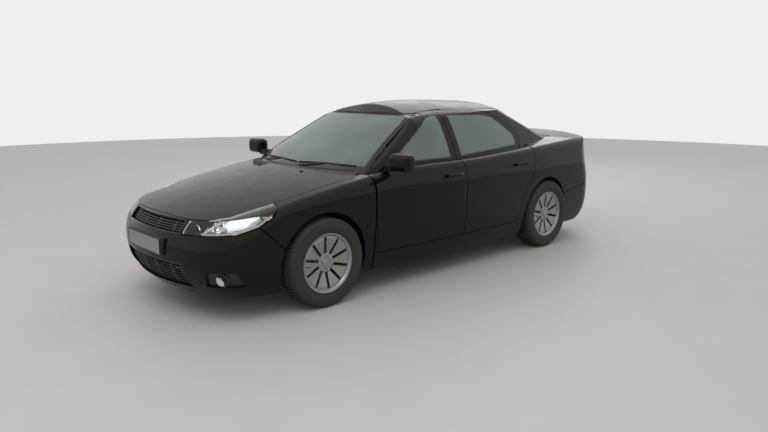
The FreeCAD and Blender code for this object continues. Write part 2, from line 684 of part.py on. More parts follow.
side_frame = side_frame.cut(prism(TAIL_LAMP_SIDE, "xz", 560, 1000, grow=1))
side_frame = side_frame.cut(prism(FENDER_SIDE, "xz", HALF - num("fender_thickness") - 2, 1000))
on_both_sides("side_frame", biggest(side_frame))

roof = roof_shell.common(box(-1300, 600, -RAIL_Y + GAP / 2, RAIL_Y - GAP / 2, 1250, 1600))
roof = roof.cut([windscreen_hole, backlight_hole])
publish("roof_panel", biggest(roof))

windscreen = glass_shell.common(prism(WINDSCREEN, "yz", 150, 1500, grow=-0.4))
windscreen = windscreen.cut(lower.cut(green))
publish("windscreen", biggest(windscreen.common(box(150, 1500, -900, 900, screen_foot_z, 1500)), 1e4))
backlight = glass_shell.common(prism(BACKLIGHT, "yz", -2400, -860, grow=-0.4))
publish("backlight", biggest(backlight, 1e4))

# Rear end: lid, bumper, lamps
lid = lower.common(lid_plan).cut(plan_form(side=60, ends=40).common(lid_cap))
lid = lid.cut(green_clear).cut(mirrored(prism(TAIL_LAMP_SIDE, "xz", 420, 1000, grow=1)))
lid = lid.cut(prism(TAIL_LAMP_SIDE, "xz", 420, 1000, grow=1))
plate_half = num("plate_width") / 2 + 8
recess_x = TAIL + num("plate_recess_in")
plate_z = num("rear_plate_z")
lid = lid.cut(box(-2600, recess_x, -plate_half, plate_half, plate_z - 66, plate_z + 66))
for y in (-1, 1):
    hole = Part.makeCylinder(num("plate_hole_radius"), 200, V(-2500, y * num("plate_hole_spacing") / 2, plate_z), V(1, 0, 0))
    lid = lid.cut(hole)
lid_pivot = (size("deck_front_x") + size("lid_pivot_ahead"), fixed(0), size("lid_pivot_z"))
pivot_x = lid_pivot[0].value
pivot_z = num("lid_pivot_z")
arm_z = num("lid_arm_z")
arm_x = DECK_X - 100
arms = []
for y in (num("lid_arm_y"), -num("lid_arm_y")):
    arms.append(tube([V(pivot_x, y, pivot_z), V(pivot_x, y, arm_z), V(arm_x, y, arm_z), V(arm_x, y, 1060)], 11))
publish("trunk_lid", biggest(lid.fuse(arms)), lid_pivot)

rear_bumper = rear_skin.common(prism(REAR_BUMPER_SIDE, "xz", -1000, 1000))
tail_notch = box(TAIL - 50, TAIL + 250, num("exhaust_tail_y") - 45, num("exhaust_tail_y") + 45, 100,
                 num("exhaust_tail_z") + 42)
rear_bumper = rear_bumper.cut([rear_arch, mirrored(rear_arch), tail_notch])
publish("rear_bumper", biggest(rear_bumper))
rear_lamp = lower.common(prism(TAIL_LAMP_SIDE, "xz", 560, 1000)).cut(plan_form(side=40, ends=40)).cut(lid_hole)
publish("tail_lamps", both(biggest(rear_lamp, 1e4)))
lid_lamp = lower.common(prism(TAIL_LAMP_SIDE, "xz", 420, 1000)).common(lid_plan).cut(plan_form(side=60, ends=39))
publish("lid_lamps", both(biggest(lid_lamp, 1e4)), lid_pivot)

# Underbody
floor_z = num("floor_z")
deep = num("floor_thickness")
plan_inside = plan_form(side=num("door_thickness") + 0.3, ends=80)
trunk_z = num("trunk_floor_z")
tank_z = num("tank_top_z")
tank_x = num("tank_front_x")
pan_rear_x = -985
slab = box(tank_x, 1000, -900, 900, floor_z, floor_z + deep)
slab = slab.fuse(box(pan_rear_x, tank_x + deep, -900, 900, tank_z, tank_z + deep))
slab = slab.fuse(box(tank_x, tank_x + deep, -900, 900, floor_z, tank_z + deep))
trunk_slab = box(-2330, -975, -600, 600, trunk_z, trunk_z + deep)
trunk_slab = trunk_slab.fuse(box(-2330, -1735, -900, 900, trunk_z, trunk_z + deep))
steps = [box(-1000, -975, -676, 676, tank_z, trunk_z + deep), box(-1185, -1165, -590, 590, trunk_z, 960),
         box(975, 999.7, -690, 690, floor_z, 420)]
floor = plan_inside.common(slab.fuse(trunk_slab)).fuse(steps)
publish("floor_pan", biggest(floor))
padded_body("fuel_tank",
            block_profile(size("tank_front_x") - 10 - size("tank_rear_x"),
                          size("tank_top_z") - size("seat_gap") - size("tank_bottom_z"), size("tank_corner")),
            size("tank_width"), (size("tank_rear_x"), fixed(0), size("tank_bottom_z")))
run_z = num("exhaust_z")
tail_y = num("exhaust_tail_y")
tail_z = num("exhaust_tail_z")
muffler_x = -1735
muffler_z = 210
muffler_y = -215
pipe = tube([V(1150, -60, 300), V(1000, 0, run_z), V(tank_x - 60, 0, run_z), V(-980, -120, run_z),
             V(muffler_x, -420, muffler_z), V(-2150, tail_y, tail_z), V(TAIL + 50, tail_y, tail_z)],
            num("exhaust_radius"))
muffler = Part.makeCylinder(num("muffler_radius"), num("muffler_length"), V(muffler_x, muffler_y, muffler_z), V(0, -1, 0))
hangers = [box(x - 8, x + 8, -8, 8, run_z, floor_z - SEAT) for x in (700, 0, -500)]
hangers.append(box(muffler_x - 10, muffler_x + 10, -500, -480, muffler_z, trunk_z - SEAT))
publish("exhaust", pipe.fuse([muffler] + hangers))
rail_in = num("rail_inner_y")
rail_out = rail_in + num("rail_width")
rail_z = num("rail_bottom_z")
rail = box(1040.3, 2260, rail_in, rail_out, rail_z, rail_z + num("rail_height"))
inner_wall = box(1075, 1880, num("wheelhouse_y") - 28, num("wheelhouse_y"), 330, 730)
liner_out = num("liner_radius") + num("liner_thickness")
liner = cyl_y(FRONT_X, AXLE_Z, liner_out, 480, HALF)
liner = liner.cut(cyl_y(FRONT_X, AXLE_Z, num("liner_radius"), 400, 1000))
liner = liner.common(box(1040.3, 1900, 400, 1000, 340, 800))
liner = liner.common(plan_form(side=num("fender_thickness") + 0.3, ends=num("bumper_thickness") + 0.3))
apron = rail.fuse([inner_wall, liner, box(1100, 1900, rail_out - 5, 500, rail_z, rail_z + 50)])
beam = plan_form(side=60.3, ends=60.3).common(box(2100, 2500, -560, 560, 410, 480))
beam = beam.cut(plan_form(side=110, ends=110)).fuse(box(2200, 2285, -rail_out, rail_out, 420, 450))
publish("front_structure", biggest(apron.fuse([mirrored(apron), beam])))
rear_liner = cyl_y(REAR_X, AXLE_Z, liner_out, 600, 780)
rear_liner = rear_liner.cut(cyl_y(REAR_X, AXLE_Z, num("liner_radius"), 500, 1000))
rear_liner = rear_liner.common(box(-1800, -900, 600.5, 1000, 455.3, 800))
rear_wall = cyl_y(REAR_X, AXLE_Z, num("liner_radius"), 600, 612).common(box(-1800, -900, 600.5, 1000, 455.3, 800))
publish("rear_wheelhouses", both(rear_liner.fuse(rear_wall).common(plan_inside)))
bay_width = (size("rail_inner_y") - size("seat_gap")) * 2
padded_body("radiator", block_profile(size("radiator_depth"), size("radiator_height")), bay_width,
            (size("radiator_x"), fixed(0), size("radiator_z")))
padded_body("engine_block", block_profile(size("engine_length"), size("engine_height")), bay_width,
            (size("engine_rear_x"), fixed(0), size("rail_bottom_z")))

# Wheels
half_tyre = size("tyre_width") / 2
outer = size("tyre_radius")
rim = size("rim_radius")
tyre_profile = [(rim, half_tyre * -0.86), (rim + 45, half_tyre * -1.0), (outer - 28, half_tyre * -1.0),
                (outer - 3, half_tyre * -0.8), (outer, half_tyre * -0.4), (outer, half_tyre * 0.4),
                (outer - 3, half_tyre * 0.8), (outer - 28, half_tyre), (rim + 45, half_tyre),
                (rim, half_tyre * 0.86)]
half_rim = size("rim_width") / 2
rim_profile = [(rim - 14, half_rim * -0.9), (rim - 0.3, half_rim * -0.9), (rim - 0.3, half_rim * 0.9),
               (rim - 12, half_rim * 0.9), (rim - 22, half_rim * 0.78), (rim - 40, half_rim * 0.80),
               (size("hub_radius"), half_rim * 0.62), (size("hub_radius") - 30, half_rim * 0.66),
               (fixed(2), half_rim * 0.66), (fixed(2), half_rim * 0.25), (size("hub_radius"), half_rim * 0.25),
               (rim - 40, half_rim * 0.45), (rim - 20, half_rim * 0.30)]
hub = size("hub_radius")
disc_r = size("disc_radius")
disc_profile = [(fixed(2), half_rim * 0.25 + 4), (hub - 4, half_rim * 0.25 + 4), (hub - 4, fixed(-8)), (disc_r, fixed(-8)),
                (disc_r, fixed(-18.5)), (fixed(2), fixed(-18.5))]
inner_r = size("hub_radius") - 10
outer_r = rim - 30
rim_window = [(inner_r, inner_r * 0.10), (outer_r, outer_r * 0.20), (outer_r * 0.985, outer_r * 0.31),
              (inner_r * 0.94, inner_r * 0.45)]
for end, axle in (("front", "front_axle_x"), ("rear", "rear_axle_x")):
    for side_name, way in (("left", 1.0), ("right", -1.0)):
        at = (size(axle), size("wheel_track") / 2 * way, size("tyre_radius"))
        revolved_body("tyre_%s_%s" % (end, side_name), tyre_profile, at)
        spoked_rim("rim_%s_%s" % (end, side_name), [(r, a * way) for r, a in rim_profile], rim_window,
                   [(r, a * way) for r, a in disc_profile], at, 10)

king_y = size("wheel_track") / 2 - size("kingpin_inset")
pin_y = king_y.value
neck_z = 684
upper_z = 703
lower_z = 205
gooseneck = tube([V(FRONT_X, pin_y - 30, AXLE_Z), V(FRONT_X, 654, 440), V(FRONT_X, 654, neck_z),
                  V(FRONT_X, pin_y, neck_z)], 8)
stud = Part.makeCylinder(6, upper_z - 7.3 - neck_z, V(FRONT_X, pin_y, neck_z))
pin_block = box(FRONT_X - 22, FRONT_X + 22, 738, 770, 224, AXLE_Z)
knuckle = cyl_y(FRONT_X, AXLE_Z, 42, 700, 776).fuse([gooseneck, stud, pin_block])
on_both_sides("knuckle", knuckle, (size("front_axle_x"), king_y, size("tyre_radius")))
lower_arm = tube([V(FRONT_X, pin_y, lower_z), V(FRONT_X, 440, 262)], 14)
lower_arm = lower_arm.fuse(Part.makeSphere(18.5, V(FRONT_X, pin_y, lower_z)))
upper_arm = tube([V(FRONT_X, pin_y + 6, upper_z), V(FRONT_X - 40, num("wheelhouse_y") + 1.4, upper_z)], 7)
damper = tube([V(FRONT_X, 566, 235), V(FRONT_X, 566, 500)], 24).fuse([
    Part.makeCylinder(46, 210, V(FRONT_X, 566, 480)), Part.makeCylinder(12, 233, V(FRONT_X, 566, 480))])
subframe = box(FRONT_X - 150, FRONT_X + 150, -455, 455, 240, 300)
posts = [box(FRONT_X + x - 20, FRONT_X + x + 20, y - 20, y + 20, 300, 329.7)
         for x in (-120, 120) for y in (-425, 425)]
running_gear = lower_arm.fuse([damper])
publish("front_suspension", subframe.fuse(posts + [running_gear, mirrored(running_gear)]))
publish("upper_arms", both(upper_arm))
rear_beam = tube([V(REAR_X, -660, 290), V(REAR_X, 660, 290)], 30)
carrier = cyl_y(REAR_X, AXLE_Z, 42, 640, 776).fuse(box(REAR_X - 30, REAR_X + 30, 640, 665, 260, 380))
spring = Part.makeCylinder(46, 139.7, V(REAR_X, 520, 290))
publish("rear_axle", rear_beam.fuse([carrier, mirrored(carrier), spring, mirrored(spring)]))

# Cabin
SEAT_CUSHION = [(-60, 270), (400, 270), (445, 420), (410, 475), (60, 440), (-60, 440)]
SEAT_BACK = [(-60, 350), (60, 350), (45, 520), (-60, 800), (-112, 985), (-185, 985), (-170, 700)]
HEADREST = [(-200, 1000), (-128, 1000), (-118, 1060), (-140, 1178), (-200, 1178), (-215, 1080)]
seat_y = num("seat_y")
seat_half = num("seat_width") / 2
seat = prism(SEAT_CUSHION, "xz", seat_y - seat_half - 10, seat_y + seat_half + 10)
seat = seat.fuse([prism(SEAT_BACK, "xz", seat_y - seat_half, seat_y + seat_half),
                  prism(HEADREST, "xz", seat_y - 130, seat_y + 130),
                  box(20, 380, seat_y - 170, seat_y + 170, floor_z + deep + SEAT, 275)])
for y in (seat_y - 60, seat_y + 60):
    seat = seat.fuse(Part.makeCylinder(7, 60, V(-155, y, 960)))
publish("front_seats", both(seat))
REAR_CUSHION = [(-974.7, 315.3), (-974.7, 455), (-925, 470), (-500, 505), (-470, 440), (-535, 315.3)]
REAR_BACK = [(-930, 455.3), (-1080, 455.3), (-1150, 940), (-1050, 940)]
rear_seat = prism(REAR_CUSHION, "xz", -640, 640).fuse(prism(REAR_BACK, "xz", -590, 590))
house = cyl_y(REAR_X, AXLE_Z, num("liner_radius") + 9, 600, 1000)
publish("rear_seat", rear_seat.cut([house, mirrored(house)]))
DASH_SIDE = [(999.7, 700), (999.7, 860), (900, 925), (640, 930), (560, 880), (600, 720), (800, 640)]
column_hole = Part.makeCylinder(num("column_radius") + 7, 400, V(0, 0, -400))
column_hole.rotate(V(0, 0, 0), V(0, 1, 0), -(90 - num("steering_tilt")))
column_hole.translate(V(num("steering_x"), num("steering_y"), num("steering_z")))
dash = prism(DASH_SIDE, "xz", -690, 690).cut(column_hole)
publish("dashboard", dash.fuse(box(-300, 800, -95, 95, 215.3, 720)))
grip = size("steering_grip")
wheel_parts = [
    primitive("Part::Torus", "wheel_ring", {"Radius1": size("steering_radius"), "Radius2": grip}),
    primitive("Part::Cylinder", "wheel_boss", {"Radius": fixed(60), "Height": fixed(45)},
              (fixed(0), fixed(0), fixed(-30))),
    primitive("Part::Box", "wheel_spokes", {"Length": size("steering_radius") * 2 - 10, "Width": fixed(30),
                                            "Height": fixed(16)},
              (size("steering_radius") * -1.0 + 5, fixed(-15), fixed(-8))),
    primitive("Part::Cylinder", "wheel_column", {"Radius": size("column_radius"), "Height": fixed(170)},
              (fixed(0), fixed(0), fixed(-195)))]
steering = doc.addObject("Part::MultiFuse", "steering_wheel")
steering.Shapes = wheel_parts
steering.Label = "steering_wheel"
steering.Placement = FreeCAD.Placement(V(0, 0, 0), FreeCAD.Rotation(V(0, -1, 0), 90 - num("steering_tilt")))
for letter in "xyz":
    steering.setExpression("Placement.Base." + letter, "sizes.steering_" + letter)
nodes.append(steering)
shelf = box(-1790, -1150, -510, 510, 985, 1000)
strip = lower.common(box(-1822, -1700, -560, 560, 1000, 1200)).cut(lid_cap).cut(green_clear).cut(lid_hole)
publish("parcel_shelf", biggest(shelf.fuse(strip).fuse(box(-1810, -1780, -510, 510, 985, 1060))))

# Wipers parked along the foot of the windscreen


def on_screen(y, z, off):
    """A point just ahead of the windscreen at this height."""
    inside = green.common(Part.makeLine(V(300, y, z), V(1700, y, z)))
    return V(inside.BoundBox.XMax + off, y, z)


BLADE_RADIUS = 4.5
ARM_RADIUS = 5
blades = []
for start_y, end_y in ((640, 70), (30, -520)):
    line = [on_screen(start_y + (end_y - start_y) * k / 6, 992 - 8 * abs(k - 3) / 3, 3.4) for k in range(7)]
    arm = [on_screen(end_y + 40 + (line[3].y - end_y - 40) * k / 3, 962 + 8.5 * k, 5.5) for k in range(3)]
    blades.append(tube(line, BLADE_RADIUS).fuse(tube(arm + [line[3]], ARM_RADIUS)))
publish("wipers", Part.makeCompound(blades))

# Mirrors ride on the front doors
glass_outer_zone = front_door.fuse(front_pane)
mirror_shell = Part.makeBox(110, 200, 135, V(765, 905, 960))
mirror_shell = mirror_shell.makeFillet(40, mirror_shell.Edges).fuse(box(790, 850, 812, 930, 950, 1000)).cut(glass_outer_zone)
on_both_sides("mirror", mirror_shell, (hinge_x, hinge_y, door_z))

doc.recompute()
for piece in nodes:
    if "Invalid" in piece.State or "Error" in piece.State:
        raise RuntimeError("bad state: " + piece.Label)
    shape = piece.Shape
    if shape.isNull() or not shape.isValid() or not shape.Solids:
        raise RuntimeError("bad shape: " + piece.Label)
    shape.exportStep("parts/%s.step" % piece.Label)
print(len(nodes), "pieces")
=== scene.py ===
import json
import math

import bmesh
import bpy
from mathutils import Matrix, Vector
from mathutils.bvhtree import BVHTree


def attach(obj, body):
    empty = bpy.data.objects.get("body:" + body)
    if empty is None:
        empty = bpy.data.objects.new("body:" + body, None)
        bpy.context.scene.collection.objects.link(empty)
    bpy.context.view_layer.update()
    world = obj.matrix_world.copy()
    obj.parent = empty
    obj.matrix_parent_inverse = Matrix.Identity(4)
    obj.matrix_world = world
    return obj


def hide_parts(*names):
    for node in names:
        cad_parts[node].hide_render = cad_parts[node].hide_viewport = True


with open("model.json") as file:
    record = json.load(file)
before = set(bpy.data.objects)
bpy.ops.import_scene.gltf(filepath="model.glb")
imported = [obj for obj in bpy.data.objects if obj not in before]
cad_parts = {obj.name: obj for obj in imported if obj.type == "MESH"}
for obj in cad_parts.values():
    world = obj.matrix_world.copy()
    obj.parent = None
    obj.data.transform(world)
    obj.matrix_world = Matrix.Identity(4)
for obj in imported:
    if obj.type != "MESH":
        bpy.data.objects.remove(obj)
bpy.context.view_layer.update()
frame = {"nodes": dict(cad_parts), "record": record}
NODES = frame["nodes"]

# Sizes shared with the CAD, in metres
FRONT_X, REAR_X, WHEEL_Y, TYRE_R = 1.450, -1.330, 0.795, 0.333
WHEELS = {
    "front_left": (FRONT_X, 1), "front_right": (FRONT_X, -1),
    "rear_left": (REAR_X, 1), "rear_right": (REAR_X, -1),
}
SIDES = (("left", 1), ("right", -1))

# Places outside the car, from which rays are cast at its skins
AHEAD, BEHIND, BESIDE, ABOVE = 3.2, -3, 1.5, 2


# Materials
def new_material(name):
    """A material with its node tree and its shader."""
    material = bpy.data.materials.new(name)
    material.use_nodes = True
    tree = material.node_tree
    return material, tree, tree.nodes["Principled BSDF"]


def set_inputs(shader, values):
    """Set the inputs of a shader by their names."""
    for key, value in values.items():
        shader.inputs[key].default_value = value


def noise(tree, scale, detail=4.0):
    """A noise that stays put on the piece."""
    where = tree.nodes.new("ShaderNodeTexCoord")
    tex = tree.nodes.new("ShaderNodeTexNoise")
    tex.inputs["Scale"].default_value = scale
    tex.inputs["Detail"].default_value = detail
    tree.links.new(where.outputs["Object"], tex.inputs["Vector"])
    return tex.outputs["Fac"]


def ramp_to(tree, source, low, high, target, start=0.3, end=0.7):
    """Map source values from start to end onto low to high, into a target socket."""
    ramp = tree.nodes.new("ShaderNodeMapRange")
    ramp.inputs["From Min"].default_value = start
    ramp.inputs["From Max"].default_value = end
    ramp.inputs["To Min"].default_value = low
    ramp.inputs["To Max"].default_value = high
    tree.links.new(source, ramp.inputs["Value"])
    tree.links.new(ramp.outputs["Result"], target)


def colour_mix(tree, source, first, second, target):
    """Run from one colour to another over the middle values of a noise."""
    ramp = tree.nodes.new("ShaderNodeValToRGB")
    for element, position, colour in zip(ramp.color_ramp.elements, (0.35, 0.65), (first, second)):
        element.position = position
        element.color = (*colour, 1)
    tree.links.new(source, ramp.inputs["Fac"])
    tree.links.new(ramp.outputs["Color"], target)


def bump(tree, shader, source, strength):
    """Relief about a millimetre deep."""
    node = tree.nodes.new("ShaderNodeBump")
    node.inputs["Strength"].default_value = strength
    node.inputs["Distance"].default_value = 0.001
    tree.links.new(source, node.inputs["Height"])
    tree.links.new(node.outputs["Normal"], shader.inputs["Normal"])


def painted(name, first, second, roughness, coat, metallic=0.0, flake=900.0, coat_ior=1.5):
    """A smooth surface under a clear coat, which gives nearly all the gloss of a paint."""
    material, tree, shader = new_material(name)
    set_inputs(shader, {"Metallic": metallic, "Coat Weight": coat, "Coat Roughness": 0.03,
                        "Coat IOR": coat_ior, "Specular IOR Level": 0.06 if metallic == 0 else 0.5})
    colour_mix(tree, noise(tree, flake, 2.0), first, second, shader.inputs["Base Color"])
    ramp_to(tree, noise(tree, 6.0), roughness * 0.85, roughness * 1.15, shader.inputs["Roughness"])
    return material


def grained(name, first, second, roughness, scale, depth, metallic=0.0):
    """A matt surface with a grain that colour, roughness and relief share."""
    material, tree, shader = new_material(name)
    set_inputs(shader, {"Metallic": metallic})
    grain = noise(tree, scale, 6.0)
    colour_mix(tree, grain, first, second, shader.inputs["Base Color"])
    ramp_to(tree, grain, roughness * 0.9, min(1.0, roughness * 1.1), shader.inputs["Roughness"])
    bump(tree, shader, grain, depth)
    return material


# The second tint colours the painted reflection laid over glass.
GLOSS_TINT, PAINTED_REFLECTION_TINT = (0.9, 0.93, 0.92, 1), (0.70, 0.92, 0.78, 1)


def clear(name, tint, roughness, density, painted_reflection_share=0.0):
    """Thin glass: mostly see-through, with a gloss that grows at grazing angles and a pale diffuse layer of
    painted reflection, which stands in for the bright surroundings seen in the glass.
    """
    material = bpy.data.materials.new(name)
    material.use_nodes = True
    tree = material.node_tree
    tree.nodes.clear()
    output = tree.nodes.new("ShaderNodeOutputMaterial")
    through = tree.nodes.new("ShaderNodeBsdfTransparent")
    through.inputs["Color"].default_value = (*tint, 1)
    gloss = tree.nodes.new("ShaderNodeBsdfGlossy")
    gloss.inputs["Roughness"].default_value = roughness
    gloss.inputs["Color"].default_value = GLOSS_TINT
    facing = tree.nodes.new("ShaderNodeFresnel")
    facing.inputs["IOR"].default_value = 1.0 + density
    mix = tree.nodes.new("ShaderNodeMixShader")
    # Painted reflection: a pale diffuse layer, lit like a surface, stands in for the bright surroundings
    # that show in the glass.
    painted_reflection = tree.nodes.new("ShaderNodeBsdfDiffuse")
    painted_reflection.inputs["Color"].default_value = PAINTED_REFLECTION_TINT
    body_mix = tree.nodes.new("ShaderNodeMixShader")
    ramp_to(tree, noise(tree, 2.5), painted_reflection_share * 0.8, painted_reflection_share * 1.2, body_mix.inputs["Fac"])
    tree.links.new(through.outputs["BSDF"], body_mix.inputs[1])
    tree.links.new(painted_reflection.outputs["BSDF"], body_mix.inputs[2])
    tree.links.new(facing.outputs["Fac"], mix.inputs["Fac"])
    tree.links.new(body_mix.outputs["Shader"], mix.inputs[1])
    tree.links.new(gloss.outputs["BSDF"], mix.inputs[2])
    tree.links.new(mix.outputs["Shader"], output.inputs["Surface"])
    return material


def arithmetic(tree, operation, first, second=0.0):
    """One step of arithmetic on sockets or numbers."""
    step = tree.nodes.new("ShaderNodeMath")
    step.operation = operation
    for socket, value in zip(step.inputs, (first, second)):
        if isinstance(value, (int, float)):
            socket.default_value = value
        else:
            tree.links.new(value, socket)
    return step.outputs[0]


FOOT_BANDS, HEAD_BANDS = 1.5, 0.6


def bordered(name, low, high, band):
    """Window glass with a black printed border; low and high are (half width, height) of its ends.
    The foot and the head of the border are shares of the band at the sides."""
    material = WINDOW.copy()
    material.name = name
    tree = material.node_tree
    place = tree.nodes.new("ShaderNodeSeparateXYZ")
    tree.links.new(tree.nodes.new("ShaderNodeTexCoord").outputs["Object"], place.inputs[0])
    slope = (low[0] - high[0]) / (high[1] - low[1])
    width = arithmetic(tree, "ABSOLUTE", place.outputs["Y"])
    side = arithmetic(tree, "ADD", width, arithmetic(tree, "MULTIPLY", place.outputs["Z"], slope))
    side = arithmetic(tree, "SUBTRACT", side, low[0] + slope * low[1] - band)
    foot = arithmetic(tree, "SUBTRACT", low[1] + band * FOOT_BANDS, place.outputs["Z"])
    head = arithmetic(tree, "SUBTRACT", place.outputs["Z"], high[1] - band * HEAD_BANDS)
    edge = arithmetic(tree, "MAXIMUM", side, arithmetic(tree, "MAXIMUM", foot, head))
    paint = tree.nodes.new("ShaderNodeBsdfPrincipled")
    set_inputs(paint, {"Base Color": (0.012, 0.012, 0.013, 1), "Roughness": 0.12})
    mix = tree.nodes.new("ShaderNodeMixShader")
    ramp_to(tree, edge, 0.0, 1.0, mix.inputs["Fac"], -0.001, 0.001)
    surface = next(n for n in tree.nodes if n.type == "OUTPUT_MATERIAL").inputs["Surface"]
    tree.links.new(surface.links[0].from_socket, mix.inputs[1])
    tree.links.new(paint.outputs["BSDF"], mix.inputs[2])
    tree.links.new(mix.outputs["Shader"], surface)
    return material


LACQUER = (0.0030, 0.0032, 0.0029), (0.0050, 0.0054, 0.0048)
PAINT = painted("black_lacquer", *LACQUER, 0.35, 0.42, coat_ior=1.42)
ROOF_PAINT = painted("roof_lacquer", *LACQUER, 0.35, 0.20, coat_ior=1.42)
STEEL = grained("coated_steel", (0.012, 0.012, 0.013), (0.03, 0.03, 0.03), 0.7, 60, 0.2)
PLASTIC = grained("black_plastic", (0.012, 0.012, 0.012), (0.022, 0.022, 0.022), 0.55, 700, 0.25)
TRIM = grained("cabin_plastic", (0.05, 0.049, 0.047), (0.075, 0.073, 0.07), 0.6, 500, 0.3)
DARK_TRIM = grained("dark_cabin_plastic", (0.02, 0.02, 0.02), (0.035, 0.034, 0.033), 0.6, 500, 0.3)
FABRIC = grained("seat_weave", (0.20, 0.195, 0.18), (0.31, 0.30, 0.28), 0.95, 900, 0.8)
RUBBER = grained("tyre_rubber", (0.012, 0.012, 0.012), (0.026, 0.026, 0.026), 0.8, 250, 0.3)
ALLOY = painted("silver_alloy", (0.26, 0.26, 0.25), (0.32, 0.32, 0.30), 0.32, 0.3, 0.85, 1500.0)
CAST = grained("cast_metal", (0.05, 0.05, 0.05), (0.11, 0.105, 0.1), 0.65, 90, 0.4, 0.6)
DISC = grained("turned_steel", (0.32, 0.32, 0.33), (0.42, 0.42, 0.43), 0.35, 300, 0.1, 0.9)
CHROME = painted("bright_chrome", (0.60, 0.60, 0.58), (0.66, 0.66, 0.64), 0.08, 0.2, 1.0)
REFLECTOR = painted("lamp_reflector", (0.42, 0.41, 0.38), (0.50, 0.49, 0.45), 0.20, 0.3, 0.9)
RED_LENS = painted("red_lens", (0.28, 0.008, 0.01), (0.36, 0.012, 0.016), 0.12, 1.0)
AMBER_LENS = painted("amber_lens", (0.75, 0.26, 0.03), (0.85, 0.32, 0.05), 0.15, 1.0)
WHITE_LENS = painted("white_lens", (0.75, 0.76, 0.78), (0.83, 0.84, 0.86), 0.12, 1.0)
# Painted shade: the blank plate's white is darkened to mid-grey to stand for the shadow that falls on it.
PLATE_PAINTED_SHADE = painted("plate_grey_painted_shade", (0.20, 0.21, 0.20), (0.23, 0.24, 0.23), 0.4, 0.2)
# The last value is the share of painted reflection over the window glass.
WINDOW = clear("tinted_window", (0.86, 0.94, 0.89), 0.02, 0.5, 0.13)
LENS = clear("clear_lens", (0.93, 0.95, 0.96), 0.02, 0.5)
GLOSS_BLACK = painted("gloss_black", (0.010, 0.010, 0.011), (0.014, 0.014, 0.015), 0.25, 0.8)
WELT = grained("seat_welt", (0.05, 0.048, 0.046), (0.08, 0.078, 0.075), 0.7, 600, 0.5)
LINER = grained("headliner_cloth", (0.42, 0.41, 0.39), (0.50, 0.49, 0.47), 0.95, 800, 0.4)
MIRROR = painted("mirror_silver", (0.80, 0.82, 0.84), (0.82, 0.84, 0.86), 0.03, 0.0, 1.0)

SLOT_MATERIAL = {
    "car_paint": PAINT, "black_steel": STEEL, "black_plastic": PLASTIC, "trim_plastic": TRIM,
    "lamp_plastic": REFLECTOR, "red_plastic": RED_LENS, "clear_glass": LENS, "window_glass": WINDOW,
    "alloy": ALLOY, "tyre_rubber": RUBBER, "cast_metal": CAST, "seat_fabric": FABRIC,
    "plate_white": PLATE_PAINTED_SHADE,
}
SLOT_OF = {row["node"]: row["material_slot"] for row in frame["record"]["subparts"]}
for node_name, node in NODES.items():
    node.data.materials.clear()
    node.data.materials.append(SLOT_MATERIAL[SLOT_OF[node_name]])


# Building helpers
def add_mesh(name, vertices, faces, material, body, smooth=True, sharp=40):
    """A piece made of vertices and faces."""
    mesh = bpy.data.meshes.new(name)
    mesh.from_pydata([tuple(v) for v in vertices], [], faces)
    mesh.update()
    return finish_mesh(name, mesh, material, body, smooth, sharp)


def finish_mesh(name, mesh, material, body, smooth=True, sharp=40):
    """A mesh as a piece on its body; edges above the sharp angle in degrees stay crisp."""
    for polygon in mesh.polygons:
        polygon.use_smooth = smooth
    if smooth:
        mesh.set_sharp_from_angle(angle=math.radians(sharp))
    piece = bpy.data.objects.new(name, mesh)
    bpy.context.scene.collection.objects.link(piece)
    mesh.materials.append(material)
    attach(piece, body)
    return piece


def band_faces(rings, count):
    """Faces between neighbouring rings, each of count vertices."""
    faces = []
    for i in range(rings - 1):
        for k in range(count):
            a, b = i * count + k, i * count + (k + 1) % count
            faces.append((a, b, b + count, a + count))
    return faces


def ring_rows(rows, count, place):
    """Vertices and faces of a turned shape: rows of (radius, across) around one axis."""
    vertices = []
    for radius, across in rows:
        for k in range(count):
            angle = 2 * math.pi * k / count
            vertices.append(place(radius * math.cos(angle), across, radius * math.sin(angle)))
    return vertices, band_faces(len(rows), count)


# Searching the CAD skins
def skin_of(node_name):
    """A search tree over the faces of a CAD node."""
    node = NODES[node_name]
    vertices = [node.matrix_world @ v.co for v in node.data.vertices]
    return BVHTree.FromPolygons(vertices, [tuple(p.vertices) for p in node.data.polygons])


def hit(skin, start, way):
    """Where a ray from start meets the skin, and the normal that looks back at it."""
    point, normal, _, _ = skin.ray_cast(Vector(start), Vector(way))
    if point is None:
        raise RuntimeError("no skin at %s towards %s" % (tuple(start), tuple(way)))
    return point, normal if normal.dot(Vector(way)) < 0 else -normal


def inset(points, distance):
    """A convex polygon moved inwards by a distance on every side."""
    count = len(points)
    area = sum(points[i][0] * points[(i + 1) % count][1] - points[(i + 1) % count][0] * points[i][1]
               for i in range(count))
    turn = 1 if area > 0 else -1
    result = []
    for i in range(count):
        a, b, c = (Vector(points[(i + k) % count]) for k in (-1, 0, 1))
        d1, d2 = (b - a).normalized(), (c - b).normalized()
        n1, n2 = Vector((-d1.y, d1.x)) * turn, Vector((-d2.y, d2.x)) * turn
        result.append(tuple(b + (n1 + n2) * (distance / (1 + n1.dot(n2)))))
    return result


def spread(points, steps, closed=True):
    """Points between the corners of a polygon, the same number on every side."""
    ends = points[1:] + points[:1] if closed else points[1:]
    result = []
    for a, b in zip(points, ends):
        for k in range(steps):
            result.append(tuple(p + (q - p) * k / steps for p, q in zip(a, b)))
    if not closed:
        result.append(tuple(points[-1]))
    return result


def from_behind(side, points):
    """Ray starts behind the car, for (y, z) points that side -1 mirrors to the right."""
    return [(BEHIND, side * y, z) for y, z in points]


def from_beside(side, points):
    """Ray starts beside the car, on the side given, for (x, z) points."""
    return [(x, side * BESIDE, z) for x, z in points]


# Mesh makers
TUBE_SIDES = 8


